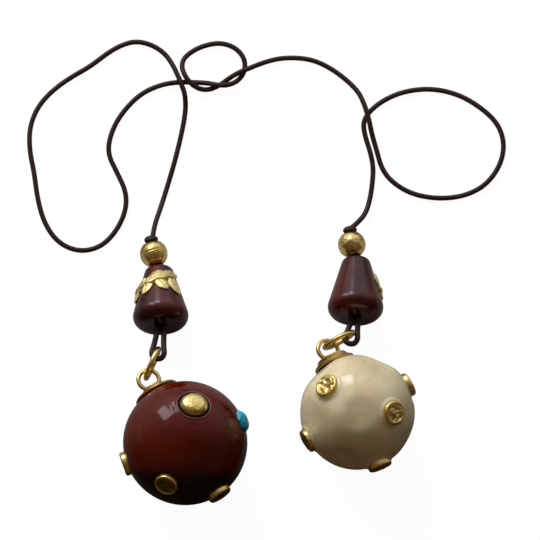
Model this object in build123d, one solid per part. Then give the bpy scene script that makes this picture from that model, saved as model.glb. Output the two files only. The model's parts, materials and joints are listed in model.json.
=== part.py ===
from build123d import *

import os
from math import asin, atan, cos, degrees, pi, radians, sin, sqrt, tan

# Frame: +Z up, the floor at Z 0, both pendants lying towards -Y and the cord looped towards +Y.
# The origin is on the floor, under the middle of the box round the two pendants.

# Cord and its knots
cord_diameter = 1.8
strand_gap = 0.1  # between the two strands of a doubled end
strand_play = 0.25  # between the pair of strands and the bore round it
loop_half_width = 2.15  # of the bend that holds a jump ring
loop_easing = 3.0  # bend radius where a strand changes its direction a little
bend_share = 0.85  # of the half width, for the radius at each of the bend's three corners
bend_corner = 60  # degrees turned at each of them
run_share = 0.45  # of the shorter run beside a corner that the cord's arc takes up
knot_length = 2.6
knot_diameter = 4.5
knot_gap = 0.25  # between a stopper knot and its gold bead
knot_lead = 2.4  # straight cord where it leaves a knot
knot_exit = 0.9  # how far to the +X side of the knot's middle the long cord leaves it

# Gold beads
bead_diameter = 9.6
bead_edge = 0.4  # rounding of the bead's bore
bead_gap = 0.25  # between a gold bead and its bell

# Bell beads
bell_length = 22.4
bell_top_radius = 4.6
bell_base_radius = 10.9
bell_shoulder = 2.2
bell_base_rounding = 4.0
bore_edge = 0.4

# Leaf sprigs on the bells
sprig_thickness = 1.0
sprig_seat = 0.05
sprig_from = 2.6  # along the bell from its narrow end
sprig_to = 15.5
stem_width = 2.6
leaf_length = 8.0
leaf_width = 4.4
peg_radius = 0.5
peg_length = 1.6
peg_play = 0.05

# Jump rings
ring_diameter = 12.8
ring_wire = 1.8
ring_split = 0.12  # between the butted ends of its wire
ring_butt = 60  # degrees from the ball's side of the ring to the butted ends
link_gap = 0.25  # between linked wires, and between a ring and its cord

# Ball fittings
eye_diameter = 8.6
eye_wire = 1.5
shank_radius = 1.0
shank_length = 9.0
cap_thickness = 0.8
cap_rim = 0.6  # radius of the rolled edge
collar_height = 1.1
collar_play = 0.1
collar_rounding = 0.35
fit_play = 0.05  # between a shank and its hole, and between curved seats

# Studs
stud_diameter = 8.4
stud_height = 1.75  # above the ball
stud_rounding = 0.5
stud_dish_depth = 0.3
stud_dish_radius = 3.5
stud_shank_radius = 0.9
stud_shank_length = 4.5
hole_spare = 0.4  # of a blind hole past the end of its shank
dome_base = 0.9  # of the domed stud's rim above the ball
dome_rise = 1.1
recess_diameter = 11.4
recess_depth = 0.85

# Turquoise stone
stone_diameter = 8.0
stone_height = 1.9
stone_table = 4.2
stone_sides = 8
stone_depth = 1.2

half_cord = cord_diameter / 2
strand_offset = half_cord + strand_gap / 2
bore_radius = strand_offset + half_cord + strand_play
bell_tilt = degrees(atan((bell_base_radius - bell_top_radius) / bell_length))
wire_radius = ring_wire / 2
ring_span = ring_diameter - ring_wire
eye_radius = (eye_diameter - eye_wire) / 2
eye_hold = eye_radius - eye_wire / 2 - link_gap - wire_radius  # from the eye's middle to the ring in it
loop_hold = loop_half_width - half_cord - link_gap - wire_radius  # the same in the cord's bend

# The route of the long cord between the leads of its two knots.
cord_points = [
    (-40.8, 54.4, 4.2), (-38.3, 58.6, 2.4), (-35.9, 63.4, 0.9), (-33.6, 69.7, 0.9),
    (-31.7, 76.6, 0.9), (-30.2, 82.9, 0.9), (-28.9, 89.3, 0.9), (-28.3, 94.3, 1.1),
    (-28.6, 98.4, 2.7), (-29.5, 101.0, 3.0), (-30.7, 104.2, 3.0), (-32.7, 108.8, 2.0),
    (-35.4, 113.2, 0.9), (-40.1, 116.4, 0.9), (-45.8, 117.7, 0.9), (-50.9, 116.1, 0.9),
    (-55.4, 113.4, 0.9), (-61.3, 108.7, 0.9), (-68.9, 104.3, 0.9), (-74.8, 99.8, 0.9),
    (-79.6, 94.2, 0.9), (-82.3, 87.1, 0.9), (-82.3, 79.0, 0.9), (-80.6, 70.9, 0.9),
    (-79.6, 62.5, 0.9), (-77.3, 53.6, 0.9), (-72.7, 46.6, 0.9), (-65.8, 43.2, 0.9),
    (-58.5, 44.3, 0.9), (-53.0, 49.2, 0.9), (-49.1, 56.8, 0.9), (-48.7, 63.9, 0.9),
    (-52.0, 71.1, 0.9), (-55.4, 78.0, 0.9), (-54.1, 85.4, 0.9), (-50.3, 92.4, 0.9),
    (-44.0, 99.0, 0.9), (-36.8, 102.3, 0.9), (-30.2, 103.2, 0.9), (-25.4, 103.0, 0.9),
    (-20.9, 102.5, 2.4), (-17.1, 101.5, 3.1), (-13.3, 101.6, 2.9), (-9.8, 103.7, 1.6),
    (-7.8, 107.3, 0.9), (-8.0, 111.7, 0.9), (-11.3, 115.5, 0.9), (-16.4, 117.1, 0.9),
    (-21.6, 116.2, 0.9), (-25.8, 114.3, 0.9), (-29.0, 111.6, 1.1), (-29.8, 108.5, 1.9),
    (-28.8, 105.2, 3.0), (-26.6, 102.1, 3.0), (-23.5, 100.3, 1.9), (-19.8, 100.4, 0.9),
    (-16.1, 102.3, 0.9), (-12.7, 104.7, 2.1), (-9.4, 106.3, 3.2), (-6.4, 107.5, 3.1),
    (-2.0, 109.7, 1.6), (3.6, 111.5, 0.9), (10.1, 111.8, 0.9), (16.3, 110.8, 0.9),
    (22.5, 107.6, 0.9), (27.7, 103.5, 0.9), (31.5, 99.3, 1.8), (33.4, 94.8, 3.0),
    (35.0, 89.5, 3.0), (36.3, 84.9, 1.5), (37.9, 78.7, 0.9), (39.3, 72.7, 0.9),
    (42.5, 68.1, 0.9), (49.1, 63.7, 0.9), (58.1, 61.8, 0.9), (67.4, 62.6, 0.9),
    (75.0, 66.3, 0.9), (80.2, 73.2, 0.9), (81.9, 80.8, 0.9), (79.8, 88.2, 0.9),
    (73.9, 94.0, 0.9), (66.0, 98.8, 0.9), (56.7, 100.9, 0.9), (47.7, 100.0, 0.9),
    (40.8, 97.2, 0.9), (35.6, 93.3, 0.9), (32.7, 89.1, 0.9), (33.2, 84.0, 0.9),
    (35.3, 78.3, 0.9), (36.7, 72.9, 0.9), (36.5, 67.8, 0.9), (35.2, 63.3, 0.9),
    (32.4, 59.9, 2.3), (29.0, 57.3, 4.3),
]


def pitched(heading, pitch):
    """A unit vector: heading is turned from -Y towards +X, and pitch is up from level."""
    level = cos(radians(pitch))
    return Vector(level * sin(radians(heading)), -level * cos(radians(heading)), sin(radians(pitch)))


def across(heading):
    """The level unit vector to the +X side of a heading."""
    return pitched(heading + 90, 0)


def on_sphere(sphere, radius):
    """The height over a sphere's middle of its surface, at a radius from the axis."""
    return sqrt(sphere**2 - radius**2)


def turned(*corners):
    """A solid of revolution about Z. A corner is radius, height and, if it is rounded, its rounding."""
    points = [(c[0], c[1]) for c in corners]
    rounding = [c[2] if len(c) > 2 else 0 for c in corners]
    outline = FilletPolyline(*points, radius=rounding, close=True)
    return revolve(Plane.XZ * make_face(outline), Axis.Z)


def tube(points, diameter, radii=None):
    """A round tube along straight runs joined by arcs, and the arcs' radii."""
    points = [Vector(p) for p in points]
    if radii is None:
        radii = []
        for before, here, after in zip(points, points[1:], points[2:]):
            run_in, run_out = here - before, after - here
            half_turn = radians(run_in.get_angle(run_out) / 2)
            radii.append(run_share * min(run_in.length, run_out.length) / tan(half_turn))
    path = FilletPolyline(*points, radius=radii)
    section = Plane(origin=path @ 0, z_dir=path % 0) * Circle(diameter / 2)
    return sweep(section, path=path), radii, path.length


class Pendant:
    """Where the pieces of one pendant lie, each found from the one before it."""

    def __init__(
        self,
        bell_end,
        bell_heading,
        bead_heading,
        loop_heading,
        loop_length,
        loop_slack,
        ring_heading,
        ring_lean,
        cap_heading,
        cap_dip,
        ball_diameter,
    ):
        self.bell_heading = bell_heading
        self.bead_heading = bead_heading
        self.loop_heading = loop_heading
        self.ball_radius = ball_diameter / 2
        # The bell lies on its flank, so its axis rises towards its base.
        self.bell_axis = pitched(bell_heading, bell_tilt)
        self.bell_top = Vector(*bell_end, bell_top_radius * cos(radians(bell_tilt)))
        self.bell_base = self.bell_top + self.bell_axis * bell_length
        # The gold bead lies on the floor and clears the bell's end face.
        bead_radius = bead_diameter / 2
        away = (bead_radius + bead_gap) / cos(radians(bell_tilt)) / cos(radians(bead_heading - bell_heading))
        rise = degrees(asin((bead_radius - self.bell_top.Z) / away))
        self.bead_axis = pitched(bead_heading + 180, rise)
        self.bead = self.bell_top + self.bead_axis * away
        knot_seat = on_sphere(bead_radius, bore_radius) + knot_gap
        self.knot = self.bead + self.bead_axis * knot_seat
        self.cord_exit = self.knot + self.bead_axis * knot_length + across(bead_heading) * knot_exit
        # The jump ring hangs in the bend of the cord, with some slack, and reaches up to the eye.
        self.loop_axis = pitched(loop_heading, bell_tilt)
        self.hitch = self.bell_base + self.loop_axis * loop_length
        self.bend = self.hitch + self.loop_axis * (loop_slack - loop_hold)
        self.hang = pitched(cap_heading, cap_dip)
        self.eye_height = self.ball_radius + fit_play + cap_thickness + eye_diameter / 2
        reach = eye_hold + self.eye_height
        climb = self.ball_radius - self.hitch.Z - self.hang.Z * reach
        self.ring_axis = pitched(ring_heading, degrees(asin(climb / ring_span)))
        upright = self.ring_axis.cross(across(ring_heading))
        self.ring_swing = upright.rotate(Axis((0, 0, 0), tuple(self.ring_axis)), ring_lean)
        self.ring = self.hitch + self.ring_axis * (ring_span / 2)
        self.link = self.hitch + self.ring_axis * ring_span
        self.eye = self.link + self.hang * eye_hold
        self.ball = self.link + self.hang * reach

    def bell_place(self):
        return Plane(origin=self.bell_top, x_dir=across(self.bell_heading), z_dir=self.bell_axis)

    def bead_place(self, origin):
        return Plane(origin=origin, x_dir=across(self.bead_heading), z_dir=self.bead_axis)

    def ring_place(self):
        return Plane(origin=self.ring, x_dir=self.ring_axis, z_dir=self.ring_axis.cross(self.ring_swing))

    def cap_place(self):
        """The ball's middle, with Z out through the cap and X across the eye."""
        outward = self.hang * -1
        sideways = self.ring_swing.cross(outward)
        return Plane(origin=self.ball, x_dir=sideways, z_dir=outward)

    def spot_place(self, direction):
        """The ball's middle, with Z out through a stud."""
        return Plane(origin=self.ball, z_dir=Vector(*direction))


left = Pendant(
    bell_end=(-37.5, 36.4),
    bell_heading=2.2,
    bead_heading=19,
    loop_heading=-6,
    loop_length=9.7,
    loop_slack=0.8,
    ring_heading=-22.9,
    ring_lean=11,
    cap_heading=28.7,
    cap_dip=9,
    ball_diameter=42.8,
)
right = Pendant(
    bell_end=(30.5, 39.6),
    bell_heading=-0.8,
    bead_heading=16,
    loop_heading=-10.5,
    loop_length=6.7,
    loop_slack=1.6,
    ring_heading=-61.3,
    ring_lean=8,
    cap_heading=24.2,
    cap_dip=7.5,
    ball_diameter=39.6,
)

left_cap_diameter = 15.9
left_collar_diameter = 8.4
right_cap_diameter = 14.6
right_collar_diameter = 10.9

# Which way each stud faces from the middle of its ball.
domed_stud = (0.147, 0.468, 0.871)
rimmed_studs = [
    (-0.294, -0.775, 0.559),
    (-0.95, -0.323, -0.069),
    (0.54, -0.834, 0.078),
    (0.37, 0.48, -0.79),
    (-0.10, -0.57, -0.80),
]
stone_spot = (0.916, 0.313, 0.25)
hammered_studs = [
    (-0.523, 0.295, 0.799),
    (0.617, -0.164, 0.77),
    (0.86, 0.501, -0.098),
    (-0.824, -0.494, 0.10),
    (0.38, -0.922, 0.01),
    (-0.55, 0.30, -0.78),
    (0.30, -0.55, -0.78),
]


def long_cord():
    """The cord between the two stopper knots."""
    leads = [p.cord_exit + p.bead_axis * knot_lead for p in (left, right)]
    points = [left.cord_exit, leads[0], *cord_points, leads[1], right.cord_exit]
    solid, radii, length = tube(points, cord_diameter)
    section = pi * half_cord**2
    print("cord radii", [round(r, 1) for r in radii])
    print("cord length", round(length, 1), "volume share", round(solid.volume / section / length, 4))
    return solid


def stopper_knot(pendant):
    """Two turns of the cord pulled tight against the gold bead."""
    turn = knot_diameter / 2 - half_cord
    coils = Pos(0, 0, half_cord) * Torus(turn, half_cord)
    coils += Pos(0, 0, knot_length - half_cord) * Torus(turn, half_cord)
    core = Pos(0, 0, knot_length / 2) * Cylinder(strand_offset + half_cord, knot_length)
    return pendant.bead_place(pendant.knot) * (coils + core)


def beside(heading, next_heading):
    """From the middle of the doubled cord to one strand, where the pair turns to its next heading."""
    return across((heading + next_heading) / 2) * (strand_offset / cos(radians((heading - next_heading) / 2)))


def cord_loop(pendant):
    """The doubled end: from the knot through bead and bell, round the jump ring and back."""
    half_corner = radians(bend_corner / 2)
    throat = pendant.hitch - pendant.loop_axis * wire_radius
    corner = pendant.bend + pendant.loop_axis * (loop_half_width * tan(half_corner))
    tip = pendant.bend + pendant.loop_axis * (loop_half_width / cos(half_corner))
    above = across(pendant.bead_heading) * strand_offset
    upper = beside(pendant.bead_heading, pendant.bell_heading)
    lower = beside(pendant.bell_heading, pendant.loop_heading)
    out = across(pendant.loop_heading) * loop_half_width
    top, base = pendant.bell_top, pendant.bell_base
    strand = [pendant.knot + above, top + upper, base + lower, throat + out, corner + out]
    back = [corner - out, throat - out, base - lower, top - upper, pendant.knot - above]
    eased, bent = [loop_easing] * 3, [bend_share * loop_half_width] * 3
    solid, _, _ = tube([*strand, tip, *back], cord_diameter, [*eased, *bent, *eased])
    return solid


def gold_bead(pendant):
    ball = Sphere(bead_diameter / 2) - Cylinder(bore_radius, 2 * bead_diameter)
    rims = ball.edges().filter_by(GeomType.CIRCLE).filter_by(lambda e: abs(e.radius - bore_radius) < 0.01)
    return pendant.bead_place(pendant.bead) * fillet(rims, bead_edge)


def flank(along):
    """The bell's radius at a distance from its narrow end."""
    return bell_top_radius + (bell_base_radius - bell_top_radius) * along / bell_length


def bell(pendant, pegs):
    body = turned(
        (bore_radius, 0, bore_edge),
        (bell_top_radius, 0, bell_shoulder),
        (bell_base_radius, bell_length, bell_base_rounding),
        (bore_radius, bell_length, bore_edge),
    )
    for turn, along in pegs:
        body -= peg(turn, along, peg_radius + peg_play, peg_length + hole_spare)
    return pendant.bell_place() * body


def outward(turn, along):
    """A plane on the bell's axis that faces out, turned from the bell's upper side towards +X."""
    return Plane(origin=(0, 0, along), x_dir=(0, 0, 1), z_dir=(sin(radians(turn)), cos(radians(turn)), 0))


def peg(turn, along, radius, depth):
    """A pin square to the bell's axis, from depth under the bell's skin to the inside of the sprig."""
    end = flank(along) + sprig_thickness / 2
    start = flank(along) - depth
    return outward(turn, along) * Pos(0, 0, (start + end) / 2) * Cylinder(radius, end - start)


def leaf(turn, along, lean, size):
    """A pointed leaf seen square to the bell's skin, long enough to cut the sprig's sheet."""
    half_length, half_width = size * leaf_length / 2, size * leaf_width / 2
    edge = ThreePointArc((-half_length, 0), (0, half_width), (half_length, 0))
    back = ThreePointArc((half_length, 0), (0, -half_width), (-half_length, 0))
    blade = extrude(make_face(Curve() + [edge, back]), 2 * bell_base_radius)
    return outward(turn, along) * Rot(0, 0, lean) * blade


def sprig(pendant, stem_turns, stem_middle, stem_lean, leaves, pegs):
    """A sheet-metal sprig of leaves that lies on the bell's flank, with its pegs."""
    inner, outer = sprig_seat, sprig_seat + sprig_thickness
    square = cos(radians(bell_tilt))
    sheet = turned(
        (flank(sprig_from) + inner / square, sprig_from),
        (flank(sprig_from) + outer / square, sprig_from),
        (flank(sprig_to) + outer / square, sprig_to),
        (flank(sprig_to) + inner / square, sprig_to),
    )
    reach = 3 * bell_base_radius
    first, last = stem_turns
    turns = [radians(a) for a in (first, (first + last) / 2, last)]
    fan = [(0, 0)] + [(reach * sin(a), reach * cos(a)) for a in turns]
    sector = extrude(make_face(Polyline(*fan, close=True)), bell_length)
    slab = Box(2 * reach, 2 * reach, stem_width)
    stem = Pos(0, 0, stem_middle) * Rot(0, stem_lean, 0) * slab & sector
    plan = stem
    for turn, along, lean, size in leaves:
        plan += leaf(turn, along, lean, size)
    flat = sheet & plan
    for turn, along in pegs:
        flat += peg(turn, along, peg_radius, peg_length)
    return pendant.bell_place() * flat


def jump_ring(pendant):
    """A round of wire with its two ends butted at the side."""
    gap = degrees(ring_split / (ring_span / 2))
    section = Plane.XZ * Pos(ring_span / 2, 0) * Circle(wire_radius)
    wire = revolve(section, Axis.Z, 360 - gap)
    return pendant.ring_place() * Rot(0, 0, ring_butt) * wire


def ball(pendant, studs, stones=(), recesses=()):
    body = pendant.cap_place() * Sphere(pendant.ball_radius)
    hole = Pos(0, 0, pendant.ball_radius - shank_length / 2) * Cylinder(
        shank_radius + fit_play, shank_length + 2 * hole_spare
    )
    body -= pendant.cap_place() * hole
    for direction in studs:
        depth = stud_shank_length + hole_spare
        top = pendant.ball_radius + stud_height
        pit = Pos(0, 0, (top + pendant.ball_radius - depth) / 2) * Cylinder(
            stud_shank_radius + fit_play, top - pendant.ball_radius + depth
        )
        body -= pendant.spot_place(direction) * pit
    for direction in recesses:
        wide = recess_diameter / 2
        floor = on_sphere(pendant.ball_radius, wide) - recess_depth
        body -= pendant.spot_place(direction) * Pos(0, 0, floor + wide) * Cylinder(wide, 2 * wide)
    for direction in stones:
        wide = stone_diameter / 2 + fit_play
        floor = pendant.ball_radius - stone_depth
        body -= pendant.spot_place(direction) * Pos(0, 0, floor + wide) * Cylinder(wide, 2 * wide)
    return body


def cap(pendant, diameter):
    """A domed washer that follows the ball, with a rolled edge."""
    seat = pendant.ball_radius + fit_play
    edge = diameter / 2 - cap_rim
    shell = Sphere(seat + cap_thickness) - Sphere(seat)
    shell &= Pos(0, 0, pendant.ball_radius) * Cylinder(edge, pendant.ball_radius)
    shell += Pos(0, 0, on_sphere(seat + cap_rim, edge)) * Torus(edge, cap_rim)
    shell -= Pos(0, 0, pendant.ball_radius) * Cylinder(shank_radius + fit_play, pendant.ball_radius)
    return pendant.cap_place() * (shell - Sphere(seat))


def collar(pendant, diameter):
    """A rounded ring on the cap, round the foot of the eye."""
    seat = pendant.ball_radius + 2 * fit_play + cap_thickness
    outer_eye = eye_diameter / 2
    foot = sqrt(outer_eye**2 - (outer_eye - collar_height) ** 2) + collar_play
    top = seat + collar_height
    low = on_sphere(seat, diameter / 2) - collar_height
    outer = diameter / 2
    ring = turned((foot, low), (foot, top, collar_rounding), (outer, top, collar_rounding), (outer, low))
    return pendant.cap_place() * (ring - Sphere(seat))


def eye_pin(pendant):
    """An eye of wire on a shank that is glued into the ball."""
    foot = pendant.eye_height - eye_radius
    eye = Pos(0, 0, pendant.eye_height) * Rot(90, 0, 0) * Torus(eye_radius, eye_wire / 2)
    end = pendant.ball_radius - shank_length
    shank = Pos(0, 0, (foot + end) / 2) * Cylinder(shank_radius, foot - end)
    return pendant.cap_place() * (eye + shank)


def stud(pendant, direction, seat, top, rise=0.0, dish=0.0):
    """A round head on a shank. Its face is domed by rise or sunk inside its rim by dish."""
    radius = stud_diameter / 2
    end = pendant.ball_radius - stud_shank_length
    low = on_sphere(pendant.ball_radius, radius) - stud_rounding
    low = max(low, seat) if rise else low
    head = turned((0, low), (radius, low), (radius, top, stud_rounding), (0, top))
    if rise:
        sphere = ((radius - stud_rounding) ** 2 + rise**2) / (2 * rise)
        head += Pos(0, 0, top + rise - sphere) * Sphere(sphere) & Pos(0, 0, top) * Cylinder(radius, 2 * rise)
    if dish:
        low_corner = (stud_dish_radius, top - dish, dish / 2)
        head -= turned((0, top - dish), low_corner, (stud_dish_radius, top + dish), (0, top + dish))
    if not rise:
        head -= Sphere(pendant.ball_radius + fit_play)
    shank_top = low + 2 * stud_rounding
    shank = Pos(0, 0, (end + shank_top) / 2) * Cylinder(stud_shank_radius, shank_top - end)
    return pendant.spot_place(direction) * (head + shank)


def stone(pendant, direction):
    """A faceted stone glued in its seat."""
    girdle = stone_diameter / 2
    seat = pendant.ball_radius - stone_depth + fit_play
    foot = RegularPolygon(girdle, stone_sides)
    table = RegularPolygon(stone_table / 2, stone_sides)
    mid = pendant.ball_radius + fit_play
    base = extrude(Pos(0, 0, seat) * foot, mid - seat)
    crown = loft([Pos(0, 0, mid) * foot, Pos(0, 0, mid + stone_height) * table])
    return pendant.spot_place(direction) * (base + crown)


# Each peg: turn round the bell from its upper side towards +X, and distance along it.
left_pegs = [(-40, 7.4), (24, 6.2)]
right_pegs = [(94, 7.0), (124, 8.4)]
# Each stem: the turns it runs between, the distance along the bell and the lean.
left_stem = ((-92, 56), 7.4, 18)
right_stem = ((84, 134), 7.6, -10)
# Each leaf: turn round the bell, distance along it, lean and share of the full size.
left_leaves = [
    (-84, 10.6, 28, 0.95),
    (-62, 8.4, 150, 0.8),
    (-36, 9.4, -12, 0.95),
    (-12, 6.4, 140, 0.9),
    (6, 9.2, 34, 0.85),
    (30, 5.4, 120, 0.8),
    (44, 9.4, 14, 0.95),
]
right_leaves = [
    (88, 6.2, 30, 0.8),
    (104, 8.8, -24, 0.9),
    (122, 6.8, 140, 0.75),
    (130, 10.0, 20, 0.75),
]

parts = {
    "long_cord": long_cord(),
    "brown_ball": ball(left, [domed_stud, *rimmed_studs], [stone_spot], [domed_stud]),
    "cream_ball": ball(right, hammered_studs),
    "left_cap": cap(left, left_cap_diameter),
    "right_cap": cap(right, right_cap_diameter),
    "left_collar": collar(left, left_collar_diameter),
    "right_collar": collar(right, right_collar_diameter),
    "left_sprig": sprig(left, *left_stem, left_leaves, left_pegs),
    "right_sprig": sprig(right, *right_stem, right_leaves, right_pegs),
    "left_bell": bell(left, left_pegs),
    "right_bell": bell(right, right_pegs),
}
for side, pendant in (("left", left), ("right", right)):
    parts[side + "_knot"] = stopper_knot(pendant)
    parts[side + "_cord_loop"] = cord_loop(pendant)
    parts[side + "_gold_bead"] = gold_bead(pendant)
    parts[side + "_jump_ring"] = jump_ring(pendant)
    parts[side + "_eye_pin"] = eye_pin(pendant)

recess_floor = on_sphere(left.ball_radius, recess_diameter / 2) - recess_depth + fit_play
parts["domed_stud"] = stud(left, domed_stud, recess_floor, left.ball_radius + dome_base, rise=dome_rise)
left_stud_top = left.ball_radius + stud_height
right_stud_top = right.ball_radius + stud_height
parts["rimmed_studs"] = Compound(
    children=[stud(left, d, 0, left_stud_top, dish=stud_dish_depth) for d in rimmed_studs]
)
parts["hammered_studs"] = Compound(children=[stud(right, d, 0, right_stud_top) for d in hammered_studs])
parts["turquoise_stone"] = stone(left, stone_spot)

os.makedirs("parts", exist_ok=True)
for name, shape in parts.items():
    export_step(shape, "parts/" + name + ".step")

for side, pendant in (("left", left), ("right", right)):
    print(side, "bead", pendant.bead, pendant.bead_axis)
    print(side, "bell", pendant.bell_top, pendant.bell_axis)
    print(side, "hitch", pendant.hitch, pendant.ring_swing)
    print(side, "link", pendant.link, "ball", pendant.ball)
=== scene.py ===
import json
import math
import random

import bmesh
import bpy
from mathutils import Matrix, Vector, noise


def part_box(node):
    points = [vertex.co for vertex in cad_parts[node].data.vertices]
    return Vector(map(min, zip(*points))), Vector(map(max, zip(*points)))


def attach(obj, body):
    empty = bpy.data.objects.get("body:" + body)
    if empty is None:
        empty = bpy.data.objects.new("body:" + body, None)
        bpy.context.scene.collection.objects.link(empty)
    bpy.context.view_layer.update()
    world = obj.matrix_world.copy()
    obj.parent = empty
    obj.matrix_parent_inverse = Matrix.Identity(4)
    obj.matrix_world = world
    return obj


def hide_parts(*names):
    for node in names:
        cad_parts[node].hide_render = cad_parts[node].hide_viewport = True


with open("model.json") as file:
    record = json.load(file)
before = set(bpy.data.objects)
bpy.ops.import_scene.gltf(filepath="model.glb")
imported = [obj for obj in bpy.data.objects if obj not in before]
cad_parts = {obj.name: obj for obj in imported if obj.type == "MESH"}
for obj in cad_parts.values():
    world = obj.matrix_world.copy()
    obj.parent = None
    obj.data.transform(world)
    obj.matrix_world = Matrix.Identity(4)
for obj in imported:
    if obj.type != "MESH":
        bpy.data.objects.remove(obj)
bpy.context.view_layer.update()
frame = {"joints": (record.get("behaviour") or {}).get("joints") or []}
joints = {joint["name"]: joint for joint in frame["joints"]}
mm = 0.001
print("frame loaded")


# node trees written as sums

class Value:
    # a socket that takes part in Python sums; each sum adds a Math node
    def __init__(self, net, socket):
        self.net, self.socket = net, socket

    def __add__(self, other):
        return self.net.sum("ADD", self, other)

    def __radd__(self, other):
        return self.net.sum("ADD", other, self)

    def __sub__(self, other):
        return self.net.sum("SUBTRACT", self, other)

    def __rsub__(self, other):
        return self.net.sum("SUBTRACT", other, self)

    def __mul__(self, other):
        return self.net.sum("MULTIPLY", self, other)

    def __rmul__(self, other):
        return self.net.sum("MULTIPLY", other, self)

    def __truediv__(self, other):
        return self.net.sum("DIVIDE", self, other)

    def __rtruediv__(self, other):
        return self.net.sum("DIVIDE", other, self)

    def out(self, name):
        # another output of the same node
        return Value(self.net, self.socket.node.outputs[name])


class Net:
    def __init__(self, tree):
        self.tree = tree

    def add(self, kind, settings=None, inputs=None, output=0):
        node = self.tree.nodes.new(kind)
        for name, setting in (settings or {}).items():
            if name == "stops":
                ramp = node.color_ramp
                while len(ramp.elements) < len(setting):
                    ramp.elements.new(0.5)
                for element, (position, colour) in zip(ramp.elements, setting):
                    element.position, element.color = position, colour
            else:
                setattr(node, name, setting)
        for name, value in (inputs or {}).items():
            if isinstance(value, Value):
                self.tree.links.new(value.socket, node.inputs[name])
            else:
                node.inputs[name].default_value = value
        return Value(self, node.outputs[output]) if len(node.outputs) else None

    def sum(self, operation, first, second=0.0):
        return self.add("ShaderNodeMath", {"operation": operation}, {0: first, 1: second})

    def clamped(self, value):
        return self.add("ShaderNodeClamp", {}, {0: value})

    def between(self, value, low, high):
        # 0 below low, 1 above high, and a smooth step from one to the other
        settings = {"interpolation_type": "SMOOTHSTEP"}
        return self.add("ShaderNodeMapRange", settings, {0: value, 1: low, 2: high})

    def tint(self, amount, first, second, mode="MIX"):
        settings = {"data_type": "RGBA", "blend_type": mode}
        return self.add("ShaderNodeMix", settings, {0: amount, 6: first, 7: second}, 2)

    def cloud(self, spot, scale, detail=2.0, rough=0.5):
        inputs = {"Vector": spot, "Scale": scale, "Detail": detail, "Roughness": rough}
        return self.add("ShaderNodeTexNoise", {}, inputs)

    def stored(self, name):
        # a value kept on the piece's own points
        return self.add("ShaderNodeAttribute", {"attribute_name": name}, output="Fac")

    def patched(self, colour, tone, cloud, patch):
        # patch is where in the cloud the tone begins and is full, and how much it covers
        low, high, share = patch
        return self.tint(self.between(cloud, low, high) * share, colour, tone)


def newFinish(name, paint):
    # a material whose nodes are added by paint(net, spot) and end in the shader that it returns
    made = bpy.data.materials.new(name)
    made.use_nodes = True
    made.node_tree.nodes.clear()
    net = Net(made.node_tree)
    spot = net.add("ShaderNodeTexCoord", output="Object")
    net.add("ShaderNodeOutputMaterial", {}, {"Surface": paint(net, spot)})
    return made


# places, found from the joints and boxes of the frame

def placeAt(origin, x, z):
    # a frame with its Z along z and its X as near x as it can be
    z = z.normalized()
    x = (x - z * x.dot(z)).normalized()
    made = Matrix((x, z.cross(x), z)).transposed().to_4x4()
    made.translation = origin
    return made


def pendantPlaces(side, ballNode):
    parts = ("bead_spin", "bell_spin", "ring_swing", "ball_swing")
    point = {part: Vector(joints[side + "_" + part]["pos_m"]) for part in parts}
    axis = {part: Vector(joints[side + "_" + part]["axis"]).normalized() for part in parts}
    low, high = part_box(ballNode)
    hitch, link, swing = point["ring_swing"], point["ball_swing"], axis["ring_swing"]
    bell, bead, ball = axis["bell_spin"], axis["bead_spin"], (low + high) / 2
    ring = (link - hitch).normalized()
    outward = (link - ball).normalized()
    return {
        "bell": placeAt(point["bell_spin"], Vector((-bell.y, bell.x, 0)), bell),
        "bead": placeAt(point["bead_spin"], Vector((bead.y, -bead.x, 0)), bead),
        "ring": placeAt((hitch + link) / 2, ring, ring.cross(swing)),
        "cap": placeAt(ball, swing.cross(outward), outward),
        "hitch": hitch,
        "ball": ball,
        "ballRadius": (high.z - low.z) / 2 / mm,
    }


places = {"left": pendantPlaces("left", "brown_ball"), "right": pendantPlaces("right", "cream_ball")}


# finishes

def shaded(net, look, colour, rough, height):
    # the shader of a finish, with a fine relief
    inputs = {"Height": height, "Strength": look["relief"], "Distance": look["reliefDepth"]}
    grain = net.add("ShaderNodeBump", {}, inputs)
    inputs = {"Base Color": colour, "Roughness": rough, "Normal": grain, **look["base"]}
    return net.add("ShaderNodeBsdfPrincipled", {}, inputs)


goldFinish = {
    "bright": (0.93, 0.73, 0.29, 1),
    "worn": (0.80, 0.57, 0.18, 1),
    "patina": (0.30, 0.17, 0.045, 1),
    # painted shade: the dish inside each rimmed stud's rim is darkened towards this
    "faceShade": (0.12, 0.060, 0.014, 1),
    "cloudScale": 260.0,
    "grainScale": 1500.0,
    "wornEdges": (0.38, 0.62),
    "dirtEdges": (0.60, 0.74),
    "faceShadeShare": 0.7,
    "cloudRough": 0.10,
    "dirtRough": 0.16,
    "reliefDepth": 0.03 * mm,
    "base": {"Metallic": 1.0},
}


def newGold(name, changes):
    look = {**goldFinish, **changes}

    def paint(net, spot):
        cloud = net.cloud(spot, look["cloudScale"], 4.0, 0.6)
        speck = net.cloud(spot, look["grainScale"], 3.0, 0.65)
        dirt = net.between(speck, *look["dirtEdges"])
        colour = net.tint(net.between(cloud, *look["wornEdges"]), look["bright"], look["worn"])
        colour = net.tint(dirt * look["dirt"], colour, look["patina"])
        # painted shade on the dish inside each rimmed stud's rim
        colour = net.tint(net.stored("face") * look["faceShadeShare"], colour, look["faceShade"])
        rough = look["rough"] + look["cloudRough"] * cloud + look["dirtRough"] * dirt
        return shaded(net, look, colour, rough, speck)

    return newFinish(name, paint)


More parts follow.
